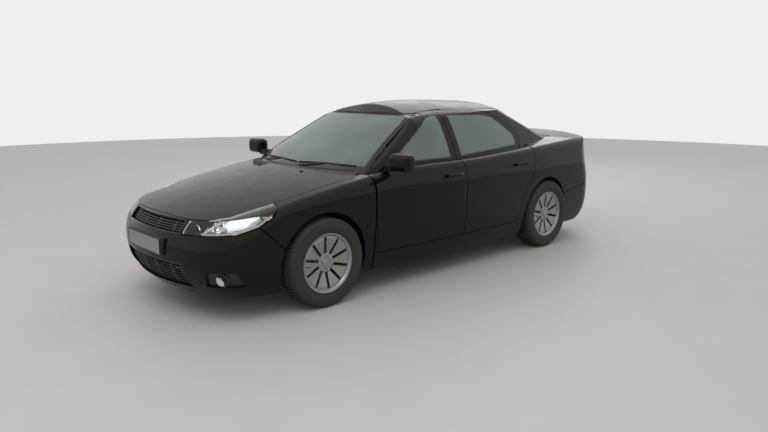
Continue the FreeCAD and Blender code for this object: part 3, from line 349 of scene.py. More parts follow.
def tube_piece(name, points, radius, material, body, closed=False, flat=1.0, normals=None):
    """A round or flattened bar along a path."""
    points = [Vector(p) for p in points]
    count = len(points)
    vertices, faces = [], []
    up = Vector((0, 0, 1))
    for i, point in enumerate(points):
        ahead = points[(i + 1) % count] if closed or i < count - 1 else point
        behind = points[i - 1] if closed or i > 0 else point
        along = (ahead - behind).normalized()
        out = Vector(normals[i]) if normals else up - along * up.dot(along)
        if out.length < 0.05:
            out = Vector((1, 0, 0)) - along * along.x
        out = (out - along * out.dot(along)).normalized()
        side = along.cross(out)
        up = out
        for k in range(TUBE_SIDES):
            angle = 2 * math.pi * k / TUBE_SIDES
            vertices.append(point + side * radius * math.cos(angle) + out * radius * flat * math.sin(angle))
    for i in range(count if closed else count - 1):
        here, there = i * TUBE_SIDES, (i + 1) % count * TUBE_SIDES
        for k in range(TUBE_SIDES):
            m = (k + 1) % TUBE_SIDES
            faces.append((here + k, here + m, there + m, there + k))
    if not closed:
        faces.append(tuple(reversed(range(TUBE_SIDES))))
        faces.append(tuple((count - 1) * TUBE_SIDES + k for k in range(TUBE_SIDES)))
    return add_mesh(name, vertices, faces, material, body)


def turned(name, centre, axis, rows, material, body, count=40):
    """A turned piece: rows of (radius, height along the axis) from a centre. A profile that
    leaves the axis free is closed into a ring."""
    axis = Vector(axis).normalized()
    side = axis.orthogonal().normalized()
    other = axis.cross(side)
    centre = Vector(centre)

    def place(a, along, b):
        return centre + side * a + other * b + axis * along

    vertices, faces = ring_rows(rows, count, place)
    last = (len(rows) - 1) * count
    if rows[0][0] > 0:
        faces += [(last + k, last + (k + 1) % count, (k + 1) % count, k) for k in range(count)]
    return add_mesh(name, vertices, faces, material, body)


def block_point(point, half, power, shape=None):
    """A point of a cube's surface, moved onto a rounded block with these half sizes."""
    total = sum(abs(c) ** power for c in point) ** (1 / power)
    unit = Vector(point) / total
    if shape:
        unit = shape(unit)
    return Vector((unit.x * half.x, unit.y * half.y, unit.z * half.z))


def soft_block(name, matrix, size, material, body, power=5.0, cuts=8, shape=None):
    """A block with rounded edges and gently bowed faces, in its own axes; shape can bend it."""
    mesh = bmesh.new()
    bmesh.ops.create_cube(mesh, size=2.0)
    bmesh.ops.subdivide_edges(mesh, edges=mesh.edges[:], cuts=cuts, use_grid_fill=True)
    half = Vector(size) / 2
    for vertex in mesh.verts:
        vertex.co = matrix @ block_point(vertex.co, half, power, shape)
    bmesh.ops.recalc_face_normals(mesh, faces=mesh.faces[:])
    data = bpy.data.meshes.new(name)
    mesh.to_mesh(data)
    mesh.free()
    return finish_mesh(name, data, material, body)


def axes(centre, ahead=(1, 0, 0), up=(0, 0, 1)):
    """A frame at centre with its x axis ahead and its z axis near up."""
    x = Vector(ahead).normalized()
    y = Vector(up).cross(x).normalized()
    z = x.cross(y)
    matrix = Matrix((x, y, z)).transposed().to_4x4()
    matrix.translation = Vector(centre)
    return matrix


def cover(name, skin, corners, way, counts, lift, thick, material, body, bulge=0.0):
    """A thin cover on a skin, between four corners seen along the ray direction."""
    across, along = counts
    a, b, c, d = (Vector(p) for p in corners)
    vertices, faces = [], []
    for i in range(across + 1):
        for j in range(along + 1):
            u, v = i / across, j / along
            start = (a * (1 - u) + b * u) * (1 - v) + (d * (1 - u) + c * u) * v
            point, normal = hit(skin, start, way)
            rise = lift + bulge * (1 - (2 * u - 1) ** 4) * (1 - (2 * v - 1) ** 4)
            vertices.append(point + normal * rise)
    for i in range(across):
        for j in range(along):
            k = i * (along + 1) + j
            faces.append((k, k + 1, k + along + 2, k + along + 1))
    piece = add_mesh(name, vertices, faces, material, body)
    solid = piece.modifiers.new("thickness", "SOLIDIFY")
    solid.thickness = thick
    solid.offset = 0.0
    return piece


def seam_on(name, skin, corners, way, radius, material, body,
            lift=0.0, closed=True, steps=10, flat=1.0):
    """A strip or seal that follows a skin along a path of ray starts."""
    path, normals = [], []
    for start in spread(corners, steps, closed):
        point, normal = hit(skin, start, way)
        path.append(point + normal * lift)
        normals.append(normal)
    return tube_piece(name, path, radius, material, body, closed, flat, normals)


# Tyres with grooves around and cuts across the tread
GROOVES = (-0.056, -0.019, 0.019, 0.056)
SIDEWALL = [(0.2235, 0.0915), (0.229, 0.0965), (0.236, 0.0960), (0.246, 0.1020), (0.262, 0.1062),
            (0.280, 0.1073), (0.296, 0.1062), (0.309, 0.1035), (0.3115, 0.1040), (0.319, 0.0985),
            (0.3265, 0.0915), (0.3300, 0.0830), (0.3318, 0.0700)]
SHOULDER_R, SHOULDER_CUT = 0.318, 0.004
BLOCKS, BLOCK_CUT, TREAD_LEAN = 60, 0.0045, 1.05


def tyre_rows():
    """(radius, across, cut depth) from the inner bead over the tread to the outer bead."""
    wall = [(radius, across, SHOULDER_CUT if radius > SHOULDER_R else 0.0) for radius, across in SIDEWALL]
    tread = []
    for groove in reversed(GROOVES):
        for side_step, drop in ((0.0045, 0.0), (0.0038, 0.0070), (-0.0038, 0.0070), (-0.0045, 0.0)):
            tread.append((TYRE_R - drop, groove + side_step, 0.0 if drop else BLOCK_CUT))
    return wall + tread + [(radius, -across, cut) for radius, across, cut in reversed(wall)]


def tyre(name, centre, way, body):
    """A tyre whose tread is cut into blocks; the cuts run back from the middle in a V."""
    turns = []
    for block in range(BLOCKS):
        for step, cut in ((0.0, 0), (0.03, 1), (0.17, 1), (0.20, 0)):
            turns.append((2 * math.pi * (block + step) / BLOCKS, cut))
    rows = tyre_rows()
    vertices = []
    for radius, across, depth in rows:
        lean = TREAD_LEAN * abs(across)
        for angle, cut in turns:
            r = radius - depth * cut
            vertices.append((centre[0] + r * math.cos(angle + lean), centre[1] + way * across,
                             centre[2] + r * math.sin(angle + lean)))
    faces = band_faces(len(rows), len(turns))
    return add_mesh(name, vertices, faces, RUBBER, body, sharp=28)


# Hub caps, rim lips, wheel bolts, valves and brake calipers
CAP_FACE, LIP_FACE = 0.0648, 0.0850
CAP = [(0.0, 0.0), (0.033, 0.0), (0.0335, 0.004), (0.031, 0.0068), (0.028, 0.0062), (0.020, 0.0078),
       (0.0, 0.0085)]
LIP = [(0.2085, 0.0), (0.2200, 0.0015), (0.2228, 0.0055), (0.2222, 0.0085), (0.2185, 0.0090),
       (0.2150, 0.0060), (0.2095, 0.0040)]
BOLT = [(0.0, 0.0), (0.0115, 0.0), (0.0115, 0.003), (0.0095, 0.003), (0.0095, 0.010),
        (0.0080, 0.0115), (0.0, 0.0115)]
BOLTS, BOLT_CIRCLE = 5, 0.055
CALIPER_LEAN = 0.33


def wheel_details(place_name, axle_x, way):
    """Tyre, hub cap, rim lip, wheel bolts and valve of one wheel."""
    body = "wheel_" + place_name
    centre = Vector((axle_x, way * WHEEL_Y, TYRE_R))
    piece = tyre("tread_" + place_name, centre, way, body)
    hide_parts("tyre_" + place_name)
    out = Vector((0, way, 0))
    turned("cap_" + place_name, centre + out * CAP_FACE, out, CAP, ALLOY, body)
    turned("lip_" + place_name, centre + out * LIP_FACE, out, LIP, ALLOY, body, 96)
    vertices, faces = [], []
    for k in range(BOLTS):
        angle = 2 * math.pi * (k + 0.5) / BOLTS
        spot = centre + Vector((BOLT_CIRCLE * math.cos(angle), way * (CAP_FACE - 0.003),
                                BOLT_CIRCLE * math.sin(angle)))

        def at(a, along, b, spot=spot):
            return spot + Vector((a, way * along, b))

        bolt_vertices, bolt_faces = ring_rows(BOLT, 6, at)
        faces += [tuple(i + len(vertices) for i in face) for face in bolt_faces]
        vertices += bolt_vertices
    add_mesh("bolts_" + place_name, vertices, faces, DISC, body, smooth=False)
    foot = centre + Vector((0.186, way * 0.079, 0.0))
    valve = [foot, foot + Vector((-0.012, way * 0.014, 0)), foot + Vector((-0.018, way * 0.026, 0))]
    tube_piece("valve_" + place_name, valve, 0.0035, RUBBER, body)


for place_name, (axle_x, way) in WHEELS.items():
    wheel_details(place_name, axle_x, way)
    at_front = place_name.startswith("front")
    carrier = "knuckle_" + place_name[6:] if at_front else "shell"
    toward = 1 if at_front else -1
    middle = Vector((axle_x - toward * 0.128, way * (WHEEL_Y - 0.020), TYRE_R + 0.045))
    place = axes(middle, (math.cos(CALIPER_LEAN), 0, -math.sin(CALIPER_LEAN) * toward))
    soft_block("caliper_" + place_name, place, (0.060, 0.066, 0.135), CAST, carrier, 6.0, 6)

# Head, turn and fog lamps
HEAD_SKIN = skin_of("headlamp_lenses")


def lobe(name, side, start, radius, lean):
    """One round reflector with its bulb and bright ring, behind the clear lens."""
    point, normal = hit(HEAD_SKIN, (AHEAD, side * start[0], start[1]), (-1, 0, 0))
    axis = (normal * (1 - lean) + Vector((1, 0, 0)) * lean).normalized()
    back = point - normal * 0.038
    bowl = [(0.0, 0.002), (radius * 0.35, 0.003), (radius * 0.65, 0.009), (radius * 0.88, 0.019),
            (radius, 0.028), (radius * 1.06, 0.028), (radius * 1.02, 0.020), (radius * 0.7, 0.004),
            (0.0, 0.0)]
    bulb = [(0.0, 0.002), (0.010, 0.002), (0.010, 0.008), (0.0075, 0.013), (0.0062, 0.022),
            (0.003, 0.0255), (0.0, 0.026)]
    ring = [(radius * 1.02, 0.0), (radius * 1.14, 0.0005), (radius * 1.17, 0.003),
            (radius * 1.10, 0.0052), (radius * 1.02, 0.0036)]
    turned(name + "_bowl", back, axis, bowl, CHROME, "shell", 48)
    turned(name + "_bulb", back, axis, bulb, WHITE_LENS, "shell", 24)
    turned(name + "_ring", back + axis * 0.0262, axis, ring, CHROME, "shell", 48)


TURN_LAMP = [(1.950, 0.708), (1.950, 0.756), (1.862, 0.774), (1.862, 0.757)]
for side_name, side in SIDES:
    lobe("lobe_inner_" + side_name, side, (0.520, 0.658), 0.030, 0.45)
    lobe("lobe_outer_" + side_name, side, (0.668, 0.682), 0.040, 0.35)
    cover("turn_lamp_" + side_name, HEAD_SKIN, from_beside(side, TURN_LAMP), (0, -side, 0), (6, 4),
          -0.0070, 0.002, AMBER_LENS, "shell")

FOG_SKIN = skin_of("fog_lamps")
FOG_BEZEL = [(0.0, 0.0), (0.050, 0.0), (0.053, 0.007), (0.050, 0.013), (0.044, 0.014), (0.041, 0.009),
             (0.0, 0.008)]
FOG_BOWL = [(0.0, 0.0), (0.040, 0.0), (0.0405, 0.006), (0.036, 0.0062), (0.020, 0.0050), (0.0, 0.0048)]
FOG_LENS = [(0.0, 0.0), (0.0405, 0.0), (0.0400, 0.0025), (0.030, 0.0065), (0.015, 0.0085), (0.0, 0.0090)]
NODES["fog_lamps"].data.materials[0] = PLASTIC
for side_name, side in SIDES:
    point, normal = hit(FOG_SKIN, (AHEAD, side * 0.700, 0.317), (-1, 0, 0))
    axis = (normal + Vector((1, 0, 0)) * 0.6).normalized()
    turned("fog_bezel_" + side_name, point - axis * 0.004, axis, FOG_BEZEL, PLASTIC, "shell",
           48)
    turned("fog_bowl_" + side_name, point + axis * 0.0045, axis, FOG_BOWL, CHROME, "shell",
           48)
    turned("fog_lens_" + side_name, point + axis * 0.0115, axis, FOG_LENS, LENS, "shell",
           48)

# Tail lamps, rear bumper and exhaust
TAIL_SKIN = skin_of("tail_lamps")
LID_SKIN = skin_of("lid_lamps")
TRUNK_SKIN = skin_of("trunk_lid")
REAR_BUMPER_SKIN = skin_of("rear_bumper")
REVERSE_LENS = [(0.440, 0.846), (0.610, 0.846), (0.610, 0.886), (0.440, 0.886)]
INDICATOR_LENS = [(0.652, 0.922), (0.768, 0.924), (0.768, 0.958), (0.652, 0.960)]
BUMPER_REFLECTOR = [(0.500, 0.452), (0.640, 0.452), (0.640, 0.484), (0.500, 0.484)]
VALANCE = [(-0.44, 0.186), (0.44, 0.186), (0.46, 0.292), (-0.46, 0.292)]
FORWARD = (1, 0, 0)
for side_name, side in SIDES:
    cover("reverse_lens_" + side_name, LID_SKIN, from_behind(side, REVERSE_LENS), FORWARD, (10, 6),
          0.0022, 0.003, WHITE_LENS, "trunk_lid", 0.002)
    cover("indicator_lens_" + side_name, TAIL_SKIN, from_behind(side, INDICATOR_LENS), FORWARD, (12, 6),
          0.0022, 0.003, AMBER_LENS, "shell", 0.002)
    for height, reach in ((0.846, 0.682), (0.866, 0.712), (0.886, 0.738), (0.906, 0.758)):
        rib = from_behind(side, [(0.650, height), (reach, height)])
        seam_on("lamp_rib_%d_%s" % (height * 1000, side_name), TAIL_SKIN, rib, FORWARD, 0.0025,
                RED_LENS, "shell", 0.0005, False, 14, 0.6)
    for row, height in enumerate((0.908, 0.928, 0.948)):
        rib = from_behind(side, [(0.438, height), (0.612, height)])
        seam_on("lid_lamp_rib_%d_%s" % (row, side_name), LID_SKIN, rib, FORWARD, 0.0025,
                RED_LENS, "trunk_lid", 0.0005, False, 8, 0.6)
    cover("bumper_reflector_" + side_name, REAR_BUMPER_SKIN, from_behind(side, BUMPER_REFLECTOR),
          FORWARD, (12, 5), 0.0020, 0.004, RED_LENS, "shell", 0.001)
cover("bumper_valance", REAR_BUMPER_SKIN, from_behind(1, VALANCE), FORWARD, (24, 8), 0.0020, 0.004,
      PLASTIC, "shell", 0.002)
point, normal = hit(TRUNK_SKIN, (BEHIND, 0, 0.925), FORWARD)
soft_block("lid_grip", axes(point + normal * 0.004, normal), (0.020, 0.430, 0.026), PAINT, "trunk_lid",
           8.0, 8)
EXHAUST_TIP = [(0.0285, -0.030), (0.0300, -0.030), (0.0345, -0.010), (0.0350, 0.030), (0.0335, 0.0330),
               (0.0320, 0.0310), (0.0310, -0.005), (0.0280, -0.020)]
turned("exhaust_tip", (-2.372, -0.520, 0.235), (-1, 0, 0), EXHAUST_TIP, CHROME, "shell", 48)

# Seals, strips and trim lines
WINDOWS = {
    "front": [(0.012, 0.982), (0.012, 1.352), (0.095, 1.348), (0.190, 1.318), (0.775, 0.985)],
    "rear": [(-0.110, 0.985), (-0.110, 1.350), (-0.600, 1.342), (-0.770, 1.312), (-1.030, 1.140),
             (-1.034, 1.030)],
}
for end, polygon in WINDOWS.items():
    for side_name, side in SIDES:
        body = "door_%s_%s" % (end, side_name)
        pane = skin_of("glass_%s_%s" % (end, side_name))
        edge = from_beside(side, inset(polygon, 0.005))
        seam_on("window_seal_%s_%s" % (end, side_name), pane, edge, (0, -side, 0), 0.0055, RUBBER, body,
                0.0005, True, 14, 0.8)
        belt = inset(polygon, 0.010)
        low = [belt[0], belt[-1]] if end == "front" else [belt[0], (belt[-1][0], belt[0][1] + 0.036)]
        seam_on("belt_strip_%s_%s" % (end, side_name), pane, from_beside(side, low), (0, -side, 0),
                0.008, PLASTIC, body, 0.002, False, 20, 0.6)

SCREEN_SKIN = skin_of("windscreen")
BACK_SKIN = skin_of("backlight")
SCREEN = [(-0.735, 0.945), (0.735, 0.945), (0.541, 1.357), (0, 1.366), (-0.541, 1.357)]
BACK = [(-0.590, 1.075), (0.590, 1.075), (0.480, 1.362), (-0.480, 1.362)]
NODES["roof_panel"].data.materials[0] = ROOF_PAINT
NODES["windscreen"].data.materials[0] = bordered("windscreen_glass", (0.735, 0.945), (0.541, 1.360), 0.024)
NODES["backlight"].data.materials[0] = bordered("backlight_glass", (0.590, 1.075), (0.480, 1.362), 0.024)
for stem, skin, polygon, start_x, way in (("windscreen", SCREEN_SKIN, SCREEN, AHEAD, -1),
                                          ("backlight", BACK_SKIN, BACK, BEHIND, 1)):
    outer = [(start_x, y, z) for y, z in inset(polygon, 0.006)]
    seam_on(stem + "_seal", skin, outer, (way, 0, 0), 0.005, RUBBER, "shell",
            0.001, True, 16, 0.7)

ROOF_SKIN = skin_of("roof_panel")
STRIP_Y, STRIP_START, STRIP_STEP, STRIP_POINTS = 0.500, -1.20, 0.030, 60
for side_name, side in SIDES:
    path = []
    for k in range(STRIP_POINTS):
        start = Vector((STRIP_START + k * STRIP_STEP, side * (STRIP_Y - 0.0055), ABOVE))
        point = ROOF_SKIN.ray_cast(start, Vector((0, 0, -1)))[0]
        if point is not None and point.z > 1.30:
            path.append((start.x, side * STRIP_Y, point.z - 0.0035))
    tube_piece("roof_strip_" + side_name, path, 0.0045, RUBBER, "shell")
FLAP = [(-1.930, 0.842), (-1.930, 0.958), (-1.915, 0.973), (-1.795, 0.973), (-1.780, 0.958),
        (-1.780, 0.842), (-1.795, 0.827), (-1.915, 0.827)]
seam_on("fuel_flap_line", skin_of("side_frame_right"), from_beside(-1, FLAP), (0, 1, 0), 0.0016,
        RUBBER, "shell", -0.0004, True, 6)

# Mirrors, locks, plate fittings, jets and grille edges
LOCK = [(0.0, 0.0), (0.0105, 0.0), (0.0105, 0.002), (0.0085, 0.0032), (0.0, 0.0030)]
for side_name, side in SIDES:
    body = "door_front_" + side_name
    soft_block("mirror_bezel_" + side_name, axes((0.7830, side * 1.005, 1.0275)), (0.036, 0.178, 0.114),
               PLASTIC, body, 7.0, 10)
    soft_block("mirror_glass_" + side_name, axes((0.7650, side * 1.005, 1.0275)), (0.006, 0.158, 0.096),
               MIRROR, body, 9.0, 10)
    point, normal = hit(skin_of(body), (0.008, side * BESIDE, 0.860), (0, -side, 0))
    turned("lock_" + side_name, point - normal * 0.001, normal, LOCK, DISC, body, 24)

PLATE_X, PLATE_Y, PLATE_LOW, PLATE_HIGH = 2.4362, 0.2585, 0.4495, 0.5605
plate_corners = [(-PLATE_Y, PLATE_LOW), (PLATE_Y, PLATE_LOW), (PLATE_Y, PLATE_HIGH), (-PLATE_Y, PLATE_HIGH)]
rim_path = [(PLATE_X, y, z) for y, z in spread(plate_corners, 8)]
tube_piece("plate_rim", rim_path, 0.0026, PLASTIC, "shell", True)
SCREW = [(0.0, 0.0), (0.0060, 0.0), (0.0055, 0.0022), (0.0030, 0.0032), (0.0, 0.0034)]
for k, y in enumerate((-0.105, 0.105)):
    turned("plate_screw_%d" % k, (PLATE_X - 0.0005, y, 0.535), (1, 0, 0), SCREW, DISC, "shell",
           24)

HOOD_SKIN = skin_of("hood")
for k, y in enumerate((-0.30, 0.30)):
    point, normal = hit(HOOD_SKIN, (1.250, y, ABOVE), (0, 0, -1))
    soft_block("washer_jet_%d" % k, axes(point + normal * 0.003, (1, 0, 0), normal),
               (0.026, 0.018, 0.011), PLASTIC, "hood", 4.0, 6)

GRILLE_SKIN = skin_of("front_bumper")
GRILLES = {
    "upper": [(-0.400, 0.616), (0.400, 0.616), (0.388, 0.694), (-0.388, 0.694)],
    "lower": [(-0.470, 0.232), (0.470, 0.232), (0.430, 0.405), (-0.430, 0.405)],
}
for stem, polygon in GRILLES.items():
    edge = [(AHEAD, y, z) for y, z in inset(polygon, -0.006)]
    seam_on("grille_edge_" + stem, GRILLE_SKIN, edge, (-1, 0, 0), 0.0042, GLOSS_BLACK, "shell",
            0.0, True, 20, 0.7)

# Springs around the dampers
SPRING_R, COIL_STEPS = 0.056, 20
for end, x, y, low, high, coils in (("front", FRONT_X, 0.566, 0.488, 0.684, 5),
                                    ("rear", REAR_X, 0.520, 0.300, 0.424, 3.5)):
    steps = int(coils * COIL_STEPS)
    for side_name, side in SIDES:
        path = []
        for k in range(steps + 1):
            angle = 2 * math.pi * k / COIL_STEPS
            path.append((x + SPRING_R * math.cos(angle), side * y + SPRING_R * math.sin(angle),
                         low + (high - low) * k / steps))
        tube_piece("spring_%s_%s" % (end, side_name), path, 0.0062, STEEL, "shell")


# Upholstery: crowned cushions with bolsters, sewn channels and welted edges
def smooth(value, low, high):
    """A step from 0 to 1 with soft ends, between low and high."""
    t = min(1.0, max(0.0, (value - low) / (high - low)))
    return t * t * (3 - 2 * t)


def pad_shape(channels, wings, crown, panel=0.60, taper=0.0):
    """A bend for a cushion's upper face; panel is the half width of its sewn middle, as a share."""
    def shape(p):
        x, y, z = p
        if z > 0:
            top = smooth(z, 0.25, 0.85)
            inside = 1 - smooth(abs(y), panel - 0.08, panel + 0.02)
            rise = crown * (1 - x * x) * (1 - y * y)
            bolster = smooth(abs(y), panel, 0.84) * (1 - smooth(abs(y), 0.90, 1.0))
            rise += wings * bolster * (1 - smooth(abs(x), 0.75, 1.0))
            for channel in channels:
                rise -= 0.10 * inside * math.exp(-((x - channel) / 0.045) ** 2)
            if panel < 1:
                rise -= 0.13 * math.exp(-((abs(y) - panel) / 0.045) ** 2) * (1 - smooth(abs(x), 0.85, 1.0))
            z += rise * top
        return Vector((x, y * (1 - 0.03 * (1 - x * x) * (1 - abs(z) ** 2)), z * (1 - taper * x)))
    return shape


def pad(name, matrix, size, shape, node, power=6.0, cuts=36):
    """An upholstered block with a welt around its upper edge."""
    piece = soft_block(name, matrix, size, FABRIC, "shell", power, cuts, shape)
    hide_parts(node)
    half = Vector(size) / 2
    path = []
    for x, y in spread([(-1, -1), (1, -1), (1, 1), (-1, 1)], 24):
        path.append(matrix @ block_point((x, y, 0.70), half * 1.006, power, shape))
    tube_piece(name + "_welt", path, 0.0032, WELT, "shell", True)


def tilted(degrees):
    """The directions ahead and up of a seat part that leans back by an angle."""
    angle = math.radians(degrees)
    return Vector((math.cos(angle), 0, math.sin(angle))), Vector((-math.sin(angle), 0, math.cos(angle)))


CUSHION_TILT, BACK_LEAN, HEAD_LEAN, BENCH_LEAN = 4, 13.1, 6, 10.5
cushion_ahead = tilted(CUSHION_TILT)[0]
for side_name, side in SIDES:
    y = side * 0.370
    pad("seat_cushion_" + side_name, axes((0.192, y, 0.366), cushion_ahead), (0.490, 0.505, 0.165),
        pad_shape((-0.5, -0.1, 0.3, 0.7), 0.34, 0.14), "front_seats")
    ahead, up = tilted(BACK_LEAN)
    pad("seat_back_" + side_name, axes((-0.080, y, 0.672), up, ahead), (0.625, 0.490, 0.120),
        pad_shape((-0.6, -0.2, 0.2, 0.6), 0.45, 0.18, 0.60, 0.22), "front_seats")
    ahead, up = tilted(HEAD_LEAN)
    pad("headrest_" + side_name, axes((-0.166, y, 1.092), up, ahead), (0.160, 0.250, 0.085),
        pad_shape((), 0.0, 0.20, 2.0), "front_seats", 5.0, 16)
    for k, post_y in enumerate((y - 0.06, y + 0.06)):
        post = [(-0.150, post_y, 0.955), (-0.156, post_y, 1.030)]
        tube_piece("headrest_post_%d_%s" % (k, side_name), post, 0.006, CHROME, "shell")
    for k, rail_y in enumerate((y - 0.165, y + 0.165)):
        soft_block("seat_rail_%d_%s" % (k, side_name), axes((0.190, rail_y, 0.230)), (0.400, 0.036, 0.026),
                   STEEL, "shell", 9.0, 6)
        soft_block("seat_valance_%d_%s" % (k, side_name), axes((0.190, y + (rail_y - y) * 1.46, 0.300)),
                   (0.430, 0.024, 0.110), DARK_TRIM, "shell", 7.0, 8)
    for k, x in enumerate((0.060, 0.320)):
        tube_piece("seat_tube_%d_%s" % (k, side_name), [(x, y - 0.17, 0.262), (x, y + 0.17, 0.262)],
                   0.012, STEEL, "shell")
pad("bench_cushion", axes((-0.722, 0, 0.402), cushion_ahead), (0.480, 1.235, 0.160),
    pad_shape((-0.45, 0.0, 0.45), 0.10, 0.16, 0.44), "rear_seat")
ahead, up = tilted(BENCH_LEAN)
pad("bench_back", axes((-1.052, 0, 0.702), up, ahead), (0.480, 1.160, 0.112),
    pad_shape((-0.5, -0.1, 0.3, 0.7), 0.10, 0.20, 0.44, 0.12), "rear_seat")

# Headliner and door trim
headliner = [(0.10, -0.44, 1.0), (0.10, 0.44, 1.0), (-0.86, 0.44, 1.0), (-0.86, -0.44, 1.0)]
cover("headliner", ROOF_SKIN, headliner, (0, 0, 1), (20, 24), 0.010, 0.004, LINER, "shell")
CARDS = {
    "front": [(0.03, 0.375), (0.90, 0.375), (0.90, 0.925), (0.03, 0.925)],
    "rear": [(-0.83, 0.375), (-0.11, 0.375), (-0.11, 0.925), (-1.03, 0.925)],
}
SPEAKER = [(0.0, 0.0), (0.078, 0.0), (0.078, 0.006), (0.070, 0.009), (0.066, 0.005), (0.0, 0.007)]
for end, corners in CARDS.items():
    shift = 0.0 if end == "front" else -0.95
    for side_name, side in SIDES:
        body = "door_%s_%s" % (end, side_name)
        door_skin = skin_of(body)
        way = (0, side, 0)
        inner = [(x, 0, z) for x, z in corners]
        cover("door_card_%s_%s" % (end, side_name), door_skin, inner, way, (18, 12), 0.006, 0.004, TRIM,
              body, 0.006)
        for stem, x, z, block, material in (
                ("armrest", 0.44 + shift, 0.655, (0.460, 0.075, 0.055), DARK_TRIM),
                ("pocket", 0.45 + shift * 0.96, 0.450, (0.420, 0.050, 0.120), DARK_TRIM),
                ("opener", 0.66 + shift, 0.795, (0.100, 0.026, 0.026), CHROME)):
            point, normal = hit(door_skin, (x, 0, z), way)
            soft_block("%s_%s_%s" % (stem, end, side_name), axes(point + normal * (block[1] * 0.45)),
                       block, material, body, 6.0, 8)
        point, normal = hit(door_skin, (0.78 + shift * 0.96, 0, 0.470), way)
        turned("speaker_%s_%s" % (end, side_name), point + normal * 0.010, normal, SPEAKER, DARK_TRIM,
               body, 40)

# Dashboard fittings
DIAL = [(0.0, 0.0), (0.050, 0.0), (0.052, 0.004), (0.050, 0.007), (0.046, 0.003), (0.0, 0.002)]
DIAL_RING = [(0.0465, 0.0), (0.0500, 0.0), (0.0505, 0.0025), (0.0485, 0.0035), (0.0465, 0.0020)]
KNOB = [(0.0, 0.0), (0.022, 0.0), (0.021, 0.012), (0.018, 0.017), (0.0, 0.018)]
soft_block("cluster_hood", axes((0.640, 0.370, 0.940)), (0.160, 0.350, 0.085), DARK_TRIM, "shell",
           5.0, 14)
for k, y in enumerate((0.295, 0.445)):
    turned("dial_%d" % k, (0.5625, y, 0.938), (-1, 0, 0.2), DIAL, GLOSS_BLACK, "shell", 40)
    turned("dial_ring_%d" % k, (0.5590, y, 0.939), (-1, 0, 0.2), DIAL_RING, CHROME, "shell",
           40)
soft_block("centre_panel", axes((0.585, 0, 0.800)), (0.045, 0.270, 0.200), GLOSS_BLACK, "shell",
           8.0, 12)
for k, y in enumerate((-0.075, 0.0, 0.075)):
    turned("climate_knob_%d" % k, (0.564, y, 0.745), (-1, 0, 0), KNOB, DARK_TRIM, "shell",
           32)
for k, (y, height) in enumerate(((-0.600, 0.868), (-0.070, 0.918), (0.070, 0.918), (0.600, 0.868))):
    soft_block("vent_frame_%d" % k, axes((0.578, y, height)), (0.060, 0.125, 0.060), DARK_TRIM, "shell",
               8.0, 8)
    for row in range(4):
        material = CHROME if row == 0 else TRIM
        soft_block("vent_slat_%d_%d" % (k, row), axes((0.547, y, height - 0.018 + row * 0.012)),
                   (0.006, 0.105, 0.004), material, "shell", 6.0, 3)
DASH_SKIN = skin_of("dashboard")
glovebox = [(0, -0.560, 0.740), (0, -0.200, 0.740), (0, -0.200, 0.835), (0, -0.560, 0.835)]
seam_on("glovebox_line", DASH_SKIN, glovebox, (1, 0, 0), 0.0022, RUBBER, "shell",
        0.0, True, 8)

# Gear lever, console, brake lever and pedals
GEAR_BOOT = [(0.0, 0.0), (0.060, 0.0), (0.058, 0.008), (0.040, 0.022), (0.036, 0.024), (0.022, 0.046),
             (0.012, 0.052), (0.0, 0.053)]
GEAR_KNOB = [(0.0, 0.0), (0.007, 0.0), (0.007, 0.060), (0.018, 0.068), (0.024, 0.085), (0.022, 0.103),
             (0.012, 0.112), (0.0, 0.114)]
turned("gear_boot", (0.270, 0, 0.718), (0, 0, 1), GEAR_BOOT, WELT, "shell", 32)
turned("gear_knob", (0.262, 0, 0.768), (-0.12, 0, 1), GEAR_KNOB, DARK_TRIM, "shell", 32)
soft_block("console_lid", axes((-0.190, 0, 0.742)), (0.250, 0.170, 0.060), DARK_TRIM, "shell",
           5.0, 12)
brake_lever = [(0.020, 0.045, 0.735), (0.090, 0.045, 0.765), (0.190, 0.045, 0.800)]
tube_piece("brake_lever", brake_lever, 0.013, DARK_TRIM, "shell")
for k, (y, height, width) in enumerate(((0.310, 0.36, 0.060), (0.430, 0.38, 0.090))):
    soft_block("pedal_pad_%d" % k, axes((0.930, y, height), (0.8, 0, -0.6)), (0.014, width, 0.090),
               RUBBER, "shell", 6.0, 6)
    tube_piece("pedal_arm_%d" % k, [(0.938, y, height), (0.962, y, 0.480), (0.950, y, 0.640)], 0.008,
               STEEL, "shell")

# Horn pad and cabin mirror
axis = Vector((-0.9135, 0, 0.4067))
soft_block("horn_pad", axes(Vector((0.430, 0.370, 0.930)) + axis * 0.016, axis), (0.034, 0.165, 0.135),
           DARK_TRIM, "steering_wheel", 4.0, 14)
soft_block("cabin_mirror", axes((0.455, 0, 1.262), (1, 0, -0.15)), (0.030, 0.230, 0.062), DARK_TRIM, "shell",
           5.0, 10)
point, normal = hit(SCREEN_SKIN, (-0.2, 0, 1.300), (1, 0, 0))
tube_piece("mirror_stalk", [(0.462, 0, 1.272), point + normal * 0.004], 0.007, DARK_TRIM, "shell")
soft_block("mirror_plane", axes((0.4385, 0, 1.2595), (1, 0, -0.15)), (0.004, 0.212, 0.050), MIRROR, "shell",
           8.0, 6)

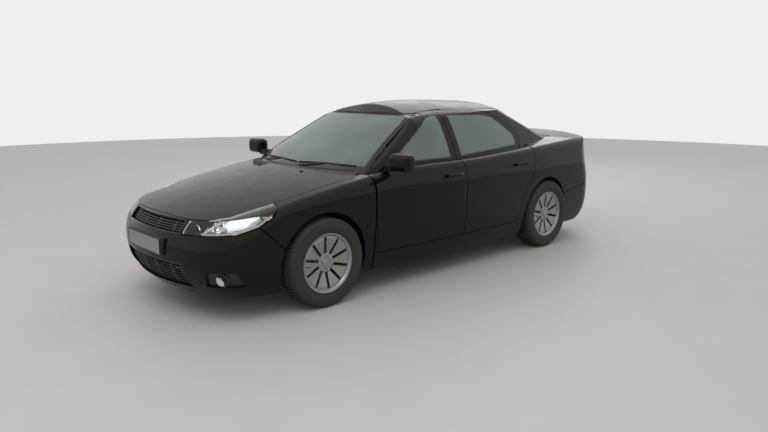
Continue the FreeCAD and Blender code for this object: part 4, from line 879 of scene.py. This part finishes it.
# Camera at the photograph's angle
AZIMUTH, ELEVATION = math.radians(47.24), math.radians(11.20)
TARGET = Vector((0.042, -0.039, 0.360))
DISTANCE, FOCAL_PX, PHOTO_WIDTH_PX, SENSOR_MM = 6.461, 668.1, 768, 36.0
camera_data = bpy.data.cameras.new("camera")
camera = bpy.data.objects.new("camera", camera_data)
bpy.context.scene.collection.objects.link(camera)
away = Vector((math.cos(ELEVATION) * math.cos(AZIMUTH), math.cos(ELEVATION) * math.sin(AZIMUTH),
               math.sin(ELEVATION)))
camera.location = TARGET + away * DISTANCE
turn = away.to_track_quat("Z", "Y").to_matrix().to_4x4()
camera.matrix_world = Matrix.Translation(camera.location) @ turn
camera_data.sensor_width = SENSOR_MM
camera_data.lens = FOCAL_PX / PHOTO_WIDTH_PX * SENSOR_MM
camera_data.clip_end = 200
bpy.context.scene.camera = camera

# Stage: a pale floor and soft light
FLOOR_R, FLOOR_SIDES = 15.2, 180
floor_material, tree, shader = new_material("pale_floor")
colour_mix(tree, noise(tree, 3.0), (0.435, 0.425, 0.42), (0.445, 0.435, 0.43), shader.inputs["Base Color"])
set_inputs(shader, {"Roughness": 0.55})
angles = [2 * math.pi * k / FLOOR_SIDES for k in range(FLOOR_SIDES)]
floor_mesh = bpy.data.meshes.new("floor")
floor_mesh.from_pydata([(FLOOR_R * math.cos(a), FLOOR_R * math.sin(a), 0) for a in angles], [],
                       [tuple(range(FLOOR_SIDES))])
floor = bpy.data.objects.new("floor", floor_mesh)
bpy.context.scene.collection.objects.link(floor)
floor_mesh.materials.append(floor_material)
world = bpy.data.worlds.new("studio")
world.use_nodes = True
background = world.node_tree.nodes["Background"]
set_inputs(background, {"Color": (0.955, 0.965, 0.925, 1), "Strength": 0.9})
bpy.context.scene.world = world
bpy.context.scene.view_settings.view_transform = "Standard"
for light_name, place, power in (("key", (4.0, 2.0, 6.5), 160), ("back", (-6.0, -4.0, 5.0), 120)):
    data = bpy.data.lights.new(light_name, "AREA")
    data.size = 5.0
    data.energy = power
    lamp = bpy.data.objects.new(light_name, data)
    lamp.location = place
    lamp.rotation_euler = (Vector((0, 0, 0.6)) - Vector(place)).to_track_quat("-Z", "Y").to_euler()
    bpy.context.scene.collection.objects.link(lamp)
